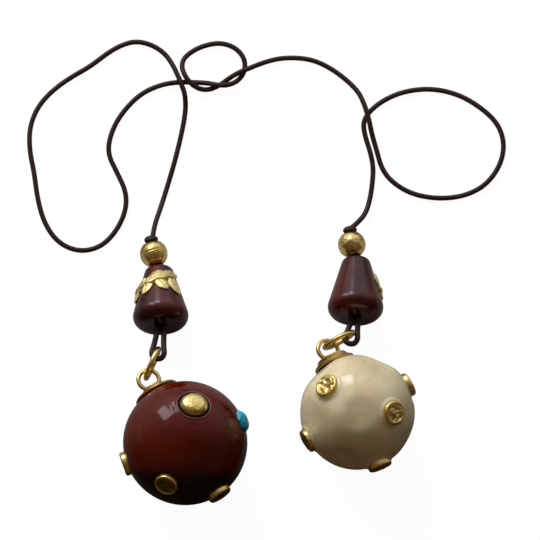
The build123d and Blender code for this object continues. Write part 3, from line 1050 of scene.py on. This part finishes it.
def leafMesh(bm, turn, along, lean, size, seed):
    rows, columns = sprig["steps"]
    halfLength, halfWidth = size * sprig["leafLength"] / 2, size * sprig["leafWidth"] / 2

    def crownAt(u, v, grain):
        # how high the leaf stands at u along it and v across it, both from -1 to 1
        crown = sprig["thickness"] * (0.45 + 0.55 * (1 - v**2)) * (1 - 0.35 * abs(u) ** 3)
        rib = sprig["ribDepth"] * math.exp(-((v / sprig["ribWidth"]) ** 2))
        wave = math.cos((u * sprig["veins"] - abs(v) * sprig["veinSlant"]) * 2 * math.pi)
        vein = sprig["veinDepth"] * max(0.0, wave) ** 6 * (1 - abs(v))
        return crown - rib - vein + sprig["grain"] * grain

    lean, turn = math.radians(lean), math.radians(turn)
    sheets = []
    for top in (True, False):
        grid = []
        for row in range(rows + 1):
            u = -1 + 2 * row / rows
            width = halfWidth * (1 - abs(u) ** 2.2) ** 0.75 + sprig["rim"]
            line = []
            for column in range(columns + 1):
                v = -1 + 2 * column / columns
                x, y = u * halfLength, v * width
                spotAlong = along + x * math.cos(lean) - y * math.sin(lean)
                spotTurn = turn + (x * math.sin(lean) + y * math.cos(lean)) / flank(spotAlong)
                grain = ripple(Vector((x, y, seed)), sprig["grainSize"], seed)
                height = crownAt(u, v, grain) if top else sprig["foot"]
                line.append(bm.verts.new(onBell(spotTurn, spotAlong, height)))
            grid.append(line)
        sheets.append(grid)
        for row in range(rows):
            for column in range(columns):
                a, b = grid[row][column], grid[row][column + 1]
                c, d = grid[row + 1][column + 1], grid[row + 1][column]
                bm.faces.new((a, b, c, d) if top else (d, c, b, a))
    upper, lower = sheets
    rim = [(r, 0) for r in range(rows + 1)] + [(rows, c) for c in range(1, columns + 1)]
    rim += [(r, columns) for r in range(rows - 1, -1, -1)] + [(0, c) for c in range(columns - 1, 0, -1)]
    for (r, c), (s, d) in zip(rim, rim[1:] + rim[:1]):
        bm.faces.new((upper[r][c], upper[s][d], lower[s][d], lower[r][c]))


def makeSprig(side):
    bm = bmesh.new()
    for index, leaf in enumerate(sprig["leaves"][side]):
        leafMesh(bm, *leaf, index + sprig["seed"][side])
    bmesh.ops.recalc_face_normals(bm, faces=bm.faces)
    mesh = meshFrom(bm, places[side]["bell"], side + "Sprig")
    first, last, middle, lean = sprig["stem"][side]
    line = []
    for step in range(sprig["stemSteps"] + 1):
        turn = math.radians(first + (last - first) * step / sprig["stemSteps"])
        across = flank(middle) * math.sin(turn)
        wave = sprig["stemWave"] * math.sin(step / 2)
        spotAlong = middle - across * math.tan(math.radians(lean)) + wave
        line.append(places[side]["bell"] @ (onBell(turn, spotAlong, sprig["stemRise"]) * mm))
    stem = strand(side + "Stem", line, False, grainyGold, sprig["stemDiameter"], 0.2, 20)
    both = joined(mesh, stem)
    finishPiece(side + "Sprig", both, side + "_bell", grainyGold, [side + "_sprig"])


for side in places:
    makeSprig(side)
print("sprigs made")

# jump rings

jumpRing = {
    "span": 11.0,
    "wire": 1.8,
    "split": 0.05,
    "butt": 60,
    "points": 220,
    # how far each has rolled about its long way
    "roll": {"left": -12, "right": -10},
}


def makeJumpRing(side):
    roll, butt = math.radians(jumpRing["roll"][side]), math.radians(jumpRing["butt"])
    turned = Matrix.Rotation(roll, 4, "X") @ Matrix.Rotation(butt, 4, "Z")
    where = places[side]["ring"] @ turned
    gap = jumpRing["split"] / (jumpRing["span"] / 2)
    line = []
    for step in range(jumpRing["points"] + 1):
        turn = (2 * math.pi - gap) * step / jumpRing["points"]
        spot = Vector((math.cos(turn), math.sin(turn), 0)) * (jumpRing["span"] / 2)
        line.append(where @ (spot * mm))
    name = side + "JumpRing"
    mesh = strand(name, line, False, satinGold, jumpRing["wire"], 0.15, 32)
    finishPiece(name, mesh, side + "_ring", satinGold, [side + "_jump_ring"])


for side in places:
    makeJumpRing(side)
print("jump rings made")

# where the studs go and how big they are

stud = {
    "diameter": 8.4,
    "height": 1.35,
    "rounding": 0.7,
    "footDepth": 0.7,
    "rimWidth": {"rimmed": 0.62, "hammered": 0.85},
    "dishDepth": {"rimmed": 0.22, "hammered": 0.10},
    "dishSlope": 0.2,
    "dentSize": {"rimmed": 2.2, "hammered": 1.9},
    "dentDepth": {"rimmed": 0.30, "hammered": 0.62},
    # the dents cut in below this level, and reach the rim by this share
    "dentLevel": 0.9,
    "rimShare": 0.14,
    "seed": {"rimmed": 3, "hammered": 8},
    "sides": 88,
    "step": 0.22,
    # the way each one faces from the middle of its ball
    "rimmed": [
        (-0.294, -0.775, 0.559),
        (-0.95, -0.323, -0.069),
        (0.54, -0.834, 0.078),
        (0.37, 0.48, -0.79),
        (-0.10, -0.57, -0.80),
    ],
    "hammered": [
        (-0.523, 0.295, 0.799),
        (0.617, -0.164, 0.77),
        (0.86, 0.501, -0.098),
        (-0.824, -0.494, 0.10),
        (0.38, -0.922, 0.01),
        (-0.55, 0.30, -0.78),
        (0.30, -0.55, -0.78),
    ],
}

# balls

brownBall = {
    "recessDiameter": 11.4,
    "recessDepth": 0.85,
    "lipRise": 0.16,
    "lipWidth": 0.55,
    # the rounded foot of the recess's wall: out from the wall and up from the floor
    "recessFoot": ((-0.5, 0.0), (-0.15, 0.1), (0.0, 0.3)),
    "wallEdge": 0.1,
    "lipSteps": 6,
    "lipHighlightWidth": 0.16,
    "sides": 240,
    "step": 0.28,
    "waver": 0.05,
    "waverSize": 9.0,
    "domedStud": (0.147, 0.468, 0.871),
}


def studPlace(side, direction):
    z = Vector(direction).normalized()
    x = Vector((0, 0, 1)) if abs(z.z) < 0.9 else Vector((1, 0, 0))
    return placeAt(places[side]["ball"], x, z)


def makeBrownBall():
    radius, wide = places["left"]["ballRadius"], brownBall["recessDiameter"] / 2
    lip = math.sqrt(radius**2 - wide**2)
    floor = lip - brownBall["recessDepth"]
    start = math.atan2(wide, lip)
    count = math.ceil((math.pi - start) * radius / brownBall["step"])
    turns = [start + (math.pi - start) * i / count for i in range(1, count + 1)]
    swell, soft = brownBall["lipRise"], brownBall["lipWidth"]
    edge = wide + brownBall["wallEdge"]
    foot = [Vector((wide + out, floor + up)) for out, up in brownBall["recessFoot"]]
    outline = [Vector((0, floor)), *foot, Vector((wide, lip - brownBall["wallEdge"]))]
    outline.append(Vector((edge, lip + swell * 0.7)))
    for step in range(1, brownBall["lipSteps"] + 1):
        share = step / brownBall["lipSteps"]
        reach = edge + soft * share
        rise = swell * math.cos(math.pi / 2 * share)
        outline.append(Vector((reach, math.sqrt(radius**2 - reach**2) + rise)))
    skin = [Vector((radius * math.sin(t), radius * math.cos(t))) for t in turns]
    skin = [spot for spot in skin if spot.y < outline[-1].y - 0.1]
    skin[-1].x = 0.0
    bm = lathe(filled(outline, brownBall["step"], False) + skin, brownBall["sides"], False)

    def uneven(spot):
        unevenness = 1 + ripple(spot, brownBall["waverSize"], 3.3)
        return -brownBall["waver"] * unevenness if spot.z < lip - 0.8 else 0.0

    pushed(bm, uneven)
    # the recess, which takes the painted shade, and the band on its lip
    moat, edges = [], []
    for vert in bm.verts:
        reach, height = vert.co.xy.length, vert.co.z
        moat.append(1.0 if 0 < height < lip + 0.02 and reach < wide + 0.02 else 0.0)
        # the narrow band on the lip that takes the painted highlight
        away = (reach - edge) / brownBall["lipHighlightWidth"] if height > lip - 0.2 else 9.0
        edges.append(math.exp(-(away**2)))
    mesh = meshFrom(bm, studPlace("left", brownBall["domedStud"]), "brownBall")
    mesh.attributes.new("moat", "FLOAT", "POINT").data.foreach_set("value", moat)
    mesh.attributes.new("lip", "FLOAT", "POINT").data.foreach_set("value", edges)
    finishPiece("brownBall", mesh, "left_ball", brownResin, ["brown_ball"])


creamBall = {
    "cuts": 7,
    "flats": 17,
    "flatDepth": 0.042,
    "soften": 85.0,
    "waver": 0.12,
    "waverSize": 6.0,
    "moundReach": 4.4,
    "moundFall": 0.75,
    "moundRise": 0.42,
}


def makeCreamBall():
    radius = places["right"]["ballRadius"]
    bm = bmesh.new()
    bmesh.ops.create_icosphere(bm, subdivisions=creamBall["cuts"], radius=radius)
    flats = evenDirections(creamBall["flats"], 23, 0.35)
    # the mounds are set out in the ball's own frame, whose Z runs out through the eye
    turned = places["right"]["cap"].to_3x3().inverted()
    seats = [turned @ Vector(way).normalized() for way in stud["hammered"]]
    soften = creamBall["soften"]
    for vert in bm.verts:
        way = vert.co.normalized()
        # soft flats: a smooth least value of the ball and the planes that cut it
        total = math.exp(-soften)
        for flat in flats:
            facing = way.dot(flat)
            if facing > 0.3:
                total += math.exp(-soften * (1 - creamBall["flatDepth"]) / facing)
        share = min(1.0, -math.log(total) / soften)
        # a low mound of resin holds each stud
        rise = 0.0
        for seat in seats:
            beyond = max(0.0, way.angle(seat) * radius - creamBall["moundReach"])
            fall = math.exp(-((beyond / creamBall["moundFall"]) ** 2))
            rise = max(rise, creamBall["moundRise"] * fall)
        unevenness = ripple(vert.co, creamBall["waverSize"], 8.1) - 0.6
        lift = rise + creamBall["waver"] * unevenness
        vert.co = way * (radius * share + lift)
    bmesh.ops.recalc_face_normals(bm, faces=bm.faces)
    mesh = meshFrom(bm, places["right"]["cap"], "creamBall")
    finishPiece("creamBall", mesh, "right_ball", creamResin, ["cream_ball"])


makeBrownBall()
makeCreamBall()
print("balls made")

# caps, collars and eye pins

fitting = {
    "play": 0.05,
    "capThickness": 0.8,
    "capRim": 0.6,
    "capDiameter": {"left": 15.9, "right": 14.6},
    "collarDiameter": {"left": 8.4, "right": 10.9},
    "collarHeight": 1.1,
    "collarRounding": 0.45,
    # the rolled edge starts this far back from straight out and sweeps round, in degrees
    "rollStart": 62,
    "rollSweep": 232,
    "rollSteps": 16,
    "shankRadius": 1.0,
    "shankDepth": 4.0,
    "eyeDiameter": 8.6,
    "eyeWire": 1.5,
    "sides": 144,
}


def makeCap(side):
    radius = places[side]["ballRadius"]
    seat, outer = radius + fitting["play"], radius + fitting["play"] + fitting["capThickness"]
    rim, edge = fitting["capRim"], fitting["capDiameter"][side] / 2 - fitting["capRim"]
    inner = fitting["shankRadius"] + fitting["play"]
    rimHeight = math.sqrt((seat + rim) ** 2 - edge**2)

    def arcAt(sphere, first, last, count):
        spots = [first + (last - first) * i / count for i in range(count + 1)]
        return [Vector((x, math.sqrt(sphere**2 - x**2))) for x in spots]

    # over the top, round the rolled edge and back under
    top = arcAt(outer, inner, edge - rim * 0.35, 30)
    lean = math.atan2(edge, rimHeight)
    roll = []
    for step in range(fitting["rollSteps"] + 1):
        swept = fitting["rollSweep"] * step / fitting["rollSteps"]
        turn = lean + math.radians(swept - fitting["rollStart"])
        roll.append(Vector((edge + rim * math.sin(turn), rimHeight + rim * math.cos(turn))))
    under = arcAt(seat, edge - rim * 0.6, inner, 20)
    bm = lathe([*top, *roll, *under], fitting["sides"])
    pushed(bm, lambda spot: 0.03 * ripple(spot, 2.2, 2.0) - 0.03)
    mesh = meshFrom(bm, places[side]["cap"], side + "Cap")
    finishPiece(side + "Cap", mesh, side + "_ball", agedGold, [side + "_cap"])


def makeCollar(side):
    radius = places[side]["ballRadius"]
    seat = radius + 2 * fitting["play"] + fitting["capThickness"]
    outerEye, height = fitting["eyeDiameter"] / 2, fitting["collarHeight"]
    foot = math.sqrt(outerEye**2 - (outerEye - height) ** 2) + 0.1
    outer, top, soft = fitting["collarDiameter"][side] / 2, seat + height, fitting["collarRounding"]
    outerLow, footLow = math.sqrt(seat**2 - outer**2), math.sqrt(seat**2 - foot**2)
    corners = [(foot, footLow), (foot, top, 0.3), (outer, top, soft), (outer, outerLow)]
    bm = lathe(filled(roundedOutline(corners, 8), 0.3), fitting["sides"])
    pushed(bm, lambda spot: 0.02 * ripple(spot, 1.6, 6.0) - 0.02)
    mesh = meshFrom(bm, places[side]["cap"], side + "Collar")
    finishPiece(side + "Collar", mesh, side + "_ball", agedGold, [side + "_collar"])


def makeEyePin(side):
    radius, where = places[side]["ballRadius"], places[side]["cap"]
    middle = radius + fitting["play"] + fitting["capThickness"] + fitting["eyeDiameter"] / 2
    bend = (fitting["eyeDiameter"] - fitting["eyeWire"]) / 2
    turns = [2 * math.pi * step / 160 for step in range(160)]
    spots = [Vector((bend * math.sin(t), 0, middle + bend * math.cos(t))) for t in turns]
    line = [where @ (spot * mm) for spot in spots]
    name = side + "EyePin"
    eye = strand(name, line, True, satinGold, fitting["eyeWire"], 0.15, 28)
    levels = (radius - fitting["shankDepth"], radius, middle - bend)
    foot = [where @ (Vector((0, 0, level)) * mm) for level in levels]
    shank = strand(name + "Shank", foot, False, satinGold, 2 * fitting["shankRadius"], 0.4, 28)
    finishPiece(name, joined(eye, shank), side + "_ball", satinGold, [side + "_eye_pin"])


for side in places:
    makeCap(side)
    makeCollar(side)
    makeEyePin(side)
print("caps, collars and eyes made")

# studs, one head set out over each ball


def makeStudTree():
    # sets a stud head on each point, turned to face the point's way, then dents it
    sockets = [
        ("Head", "NodeSocketObject"),
        ("Seed", "NodeSocketInt"),
        ("Dent Size", "NodeSocketFloat"),
        ("Dent Depth", "NodeSocketFloat"),
        ("Finish", "NodeSocketMaterial"),
    ]
    net, group, names = newTree("studTree", sockets)
    head = net.add("GeometryNodeObjectInfo", {}, {"Object": group.out("Head")}).out("Geometry")
    facing = recall(net, "facing", "FLOAT_VECTOR")
    turn = net.add("FunctionNodeAlignRotationToVector", {"axis": "Z"}, {"Vector": facing})
    # sockets 2 and 3 are the least and most of a random number, and output 1 is the number
    inputs = {2: 0.0, 3: 2 * math.pi, "Seed": group.out("Seed")}
    spin = net.add("FunctionNodeRandomValue", {"data_type": "FLOAT"}, inputs, 1)
    spun = net.add("FunctionNodeAxisAngleToRotation", {}, {"Axis": (0, 0, 1), "Angle": spin})
    inputs = {"Rotation": turn, "Rotate By": spun}
    turn = net.add("FunctionNodeRotateRotation", {"rotation_space": "LOCAL"}, inputs)
    inputs = {"Points": group.out("Geometry"), "Instance": head, "Rotation": turn}
    heads = net.add("GeometryNodeInstanceOnPoints", {}, inputs)
    heads = net.add("GeometryNodeRealizeInstances", {}, {"Geometry": heads})
    spot = net.add("GeometryNodeInputPosition")
    inputs = {"Vector": spot, "Scale": 1 / group.out("Dent Size"), "Randomness": 1.0}
    facet = net.add("ShaderNodeTexVoronoi", {"feature": "F1", "distance": "MANHATTAN"}, inputs)
    share = stud["rimShare"] + (1 - stud["rimShare"]) * recall(net, "face")
    depth = (facet - stud["dentLevel"]) * group.out("Dent Depth") * share
    endTree(net, swell(net, heads, depth), group.out("Finish"))
    return net, names


studNet, studNames = makeStudTree()


def studHead(side, style):
    # one head with its foot in the ball; Z runs out from the ball's middle
    radius, half = places[side]["ballRadius"], stud["diameter"] / 2
    low = math.sqrt(radius**2 - half**2) - stud["footDepth"]
    top = radius + stud["height"]
    corners = [(half, low), (half, top, stud["rounding"])]
    inner, dish = half - stud["rimWidth"][style], stud["dishDepth"][style]
    outline = [Vector((0, low)), *roundedOutline([(0, low), *corners, (0, top)], 10)[1:-1]]
    outline = [p for p in outline if p.x > inner or p.y < top - 0.01]
    slope = inner - stud["dishSlope"]
    outline += [Vector((inner, top)), Vector((slope, top - dish)), Vector((0, top - dish))]
    bm = lathe(filled(outline, stud["step"], False), stud["sides"], False)
    mesh = meshFrom(bm, Matrix.Identity(4), "studHead")
    # the dish inside the rim, where the dents reach fully and the gold takes its painted shade
    face = mesh.attributes.new("face", "FLOAT", "POINT")
    values = []
    for vert in mesh.vertices:
        reach = vert.co.xy.length / mm
        inside = max(0.0, min(1.0, (inner - 0.1 - reach) / 0.4))
        values.append(inside if vert.co.z > (top - 0.8) * mm else 0.0)
    face.data.foreach_set("value", values)
    return mesh


def makeStuds(side, style, finish):
    name = style + "Studs"
    head = newObject(name + "Head", studHead(side, style))
    spots = bpy.data.meshes.new(name + "Spots")
    ways = [Vector(direction).normalized() for direction in stud[style]]
    spots.from_pydata([(0, 0, 0)] * len(ways), [], [])
    facing = spots.attributes.new("facing", "FLOAT_VECTOR", "POINT")
    facing.data.foreach_set("vector", [x for way in ways for x in way])
    settings = {
        "Head": head,
        "Seed": stud["seed"][style],
        "Dent Size": stud["dentSize"][style] * mm,
        "Dent Depth": stud["dentDepth"][style] * mm,
        "Finish": finish,
    }
    mesh = grown(name, spots, studNet, studNames, settings)
    bpy.data.objects.remove(head)
    mesh.transform(Matrix.Translation(places[side]["ball"]))
    if style == "hammered":
        mesh.attributes.remove(mesh.attributes["face"])
    finishPiece(name, mesh, side + "_ball", finish, [style + "_studs"])


makeStuds("left", "rimmed", satinGold)
makeStuds("right", "hammered", rubbedGold)

domedStud = {
    "play": 0.05,
    "side": 0.5,
    "rise": 2.4,
    "radius": 4.75,
    "round": 2.5,
    "domeSteps": 30,
    "flats": 260,
    "flatDepth": 0.030,
    # the flats lie about a spot this far below the foot of the dome
    "flatCentre": 3.4,
    "flatRadius": 6.0,
    "sides": 120,
}


def makeDomedStud():
    radius = places["left"]["ballRadius"]
    lip = math.sqrt(radius**2 - (brownBall["recessDiameter"] / 2) ** 2)
    floor = lip - brownBall["recessDepth"] + domedStud["play"]
    half, top = domedStud["radius"], radius - domedStud["side"]
    outline = [Vector((0, floor)), Vector((half - 0.1, floor)), Vector((half, floor + 0.1))]
    # the dome is a little squarer than half an ellipse
    power = 2 / domedStud["round"]
    for step in range(domedStud["domeSteps"] + 1):
        turn = math.radians(90 * step / domedStud["domeSteps"])
        rise = domedStud["rise"] * math.sin(turn) ** power
        outline.append(Vector((half * math.cos(turn) ** power, top + rise)))
    outline[-1].x = 0.0
    bm = lathe(filled(outline, 0.2, False), domedStud["sides"], False)
    flats = [way for way in evenDirections(domedStud["flats"], 9, 0.12) if way.z > 0.5]

    def beaten(spot):
        if spot.z < top + 0.4:
            return 0.0
        way = Vector((spot.x, spot.y, spot.z - top + domedStud["flatCentre"])).normalized()
        return (hammered(way, flats, domedStud["flatDepth"]) - 1) * domedStud["flatRadius"]

    pushed(bm, beaten)
    mesh = meshFrom(bm, studPlace("left", brownBall["domedStud"]), "domedStud")
    finishPiece("domedStud", mesh, "left_ball", satinGold, ["domed_stud"])


makeDomedStud()
print("studs made")

# turquoise stone

gem = {
    "direction": (0.916, 0.313, 0.25),
    "diameter": 8.0,
    "height": 1.6,
    "table": 4.2,
    "sides": 8,
    "depth": 1.2,
    "play": 0.05,
    # the ring of crown corners: its reach beside the middle of girdle and table, its level
    "crownReach": 1.05,
    "crownLevel": 0.62,
    "bevel": 0.12,
}


def makeStone():
    radius = places["left"]["ballRadius"]
    girdle, table, height = gem["diameter"] / 2, gem["table"] / 2, gem["height"]
    waist = radius + gem["play"]
    crown = (girdle + table) / 2 * gem["crownReach"]
    bm = bmesh.new()
    rings = []
    # foot, girdle, a staggered ring of crown corners and the table
    levels = [
        (girdle, radius - gem["depth"] + 0.1, 0.0),
        (girdle, waist, 0.0),
        (crown, waist + height * gem["crownLevel"], 0.5),
        (table, waist + height, 0.0),
    ]
    for reach, level, shift in levels:
        turns = [2 * math.pi * (side + shift) / gem["sides"] for side in range(gem["sides"])]
        spots = [(reach * math.cos(t), reach * math.sin(t), level) for t in turns]
        rings.append([bm.verts.new(spot) for spot in spots])
    count = gem["sides"]
    foot, belt, crown, flat = rings
    bm.faces.new(list(reversed(foot)))
    bm.faces.new(flat)
    for i in range(count):
        j = (i + 1) % count
        bm.faces.new((foot[i], foot[j], belt[j], belt[i]))
        bm.faces.new((belt[i], belt[j], crown[i]))
        bm.faces.new((belt[i], crown[i], crown[i - 1]))
        bm.faces.new((crown[i], flat[j], flat[i]))
        bm.faces.new((crown[i - 1], crown[i], flat[i]))
    bmesh.ops.recalc_face_normals(bm, faces=bm.faces)
    edges = [edge for edge in bm.edges if edge.calc_face_angle(0) > 0.15]
    bmesh.ops.bevel(bm, geom=edges, offset=gem["bevel"], segments=2, affect="EDGES", profile=0.6)
    mesh = meshFrom(bm, studPlace("left", gem["direction"]), "stone")
    nodes = ["turquoise_stone"]
    finishPiece("stone", mesh, "left_ball", turquoise, nodes, smooth=False)


makeStone()
print("stone made")

# floor, world and lamps

stage = {
    "floorSize": 6.0,
    "seenTone": (0.90, 0.90, 0.90, 1),
    # painted shadow: seen in reflections, the floor is dark on the near side and pale beyond
    "nearShadeTone": (0.05, 0.04, 0.03, 1),
    "farTone": (0.48, 0.46, 0.45, 1),
    "nearEdge": -0.06,
    "farEdge": 0.05,
    "bounceTone": (0.24, 0.19, 0.14, 1),
    "glow": 1.08,
    "glowShare": 0.88,
}


def makeFloor():
    mesh = bpy.data.meshes.new("floor")
    half = stage["floorSize"] / 2
    corners = [(-half, -half, 0), (half, -half, 0), (half, half, 0), (-half, half, 0)]
    mesh.from_pydata(corners, [], [(0, 1, 2, 3)])
    floor = newObject("floor", mesh)

    def paint(net, spot):
        rays = net.add("ShaderNodeLightPath", output="Is Camera Ray")
        seen = net.clamped(rays + rays.out("Is Transmission Ray"))
        # painted shadow on the near side of the floor, seen only in reflections
        north = net.add("ShaderNodeSeparateXYZ", {}, {"Vector": spot}, "Y")
        far = net.between(north, stage["nearEdge"], stage["farEdge"])
        mirrored = net.tint(far, stage["nearShadeTone"], stage["farTone"])
        tone = net.tint(rays.out("Is Glossy Ray"), stage["bounceTone"], mirrored)
        tone = net.tint(seen, tone, stage["seenTone"])
        surface = net.add("ShaderNodeBsdfDiffuse", {}, {"Color": tone})
        inputs = {"Color": (1, 1, 1, 1), "Strength": stage["glow"]}
        glow = net.add("ShaderNodeEmission", {}, inputs)
        inputs = {0: seen * stage["glowShare"], 1: surface, 2: glow}
        return net.add("ShaderNodeMixShader", {}, inputs)

    mesh.materials.append(newFinish("floorFinish", paint))


sky = {
    "stops": [
        (0.00, (0.090, 0.055, 0.026, 1)),
        (0.40, (0.110, 0.072, 0.040, 1)),
        (0.60, (0.200, 0.190, 0.180, 1)),
        (0.78, (0.470, 0.470, 0.485, 1)),
        (1.00, (0.900, 0.900, 0.920, 1)),
    ],
}


def makeWorld():
    world = bpy.data.worlds.new("studio")
    bpy.context.scene.world = world
    world.use_nodes = True
    world.node_tree.nodes.clear()
    net = Net(world.node_tree)
    way = net.add("ShaderNodeTexCoord", output="Generated")
    north = net.add("ShaderNodeSeparateXYZ", {}, {"Vector": way}, "Y")
    tone = net.add("ShaderNodeValToRGB", {"stops": sky["stops"]}, {"Fac": north * 0.5 + 0.5})
    rays = net.add("ShaderNodeLightPath", output="Is Camera Ray")
    room = net.add("ShaderNodeBackground", {}, {"Color": tone, "Strength": 1.0})
    white = net.add("ShaderNodeBackground", {}, {"Color": (1, 1, 1, 1), "Strength": 1.0})
    mixed = net.add("ShaderNodeMixShader", {}, {0: rays, 1: room, 2: white})
    net.add("ShaderNodeOutputWorld", {}, {"Surface": mixed})


# lamps, in metres; a window of two panes, the soft daylight through it and a faint fill
window = {
    "from": (-0.384, 0.783, 0.489),
    "away": 1.3,
    "pane": (0.34, 0.60),
    "apart": 0.46,
    "tone": 4.0,
}
daylight = {"away": 1.326, "size": (0.84, 0.84), "tone": 5.0}
fill = {"from": (0.05, 0.35, 0.93), "away": 1.5, "size": (1.1, 1.1), "tone": 0.30}


def makeLamp(name, spot, size, tone, mirrored):
    # tone is how bright its face is beside white
    wide, tall = size
    light = bpy.data.lights.new(name, "AREA")
    light.shape, light.size, light.size_y = "RECTANGLE", wide, tall
    light.energy = tone * math.pi * wide * tall
    made = newObject(name, light)
    made.location = spot
    made.rotation_mode = "QUATERNION"
    made.rotation_quaternion = (-spot).to_track_quat("-Z", "Y")
    made.visible_glossy = mirrored


def makeLamps():
    way = Vector(window["from"]).normalized()
    level = way.cross(Vector((0, 0, 1))).normalized()
    for name, share in (("leftPane", 0.5), ("rightPane", -0.5)):
        spot = way * window["away"] + level * (window["apart"] * share)
        makeLamp(name, spot, window["pane"], window["tone"], True)
    makeLamp("daylight", way * daylight["away"], daylight["size"], daylight["tone"], False)
    spot = Vector(fill["from"]).normalized() * fill["away"]
    makeLamp("fillLamp", spot, fill["size"], fill["tone"], False)


makeFloor()
makeWorld()
makeLamps()
bpy.context.scene.view_settings.view_transform = "Standard"
print("stage and lamps made")
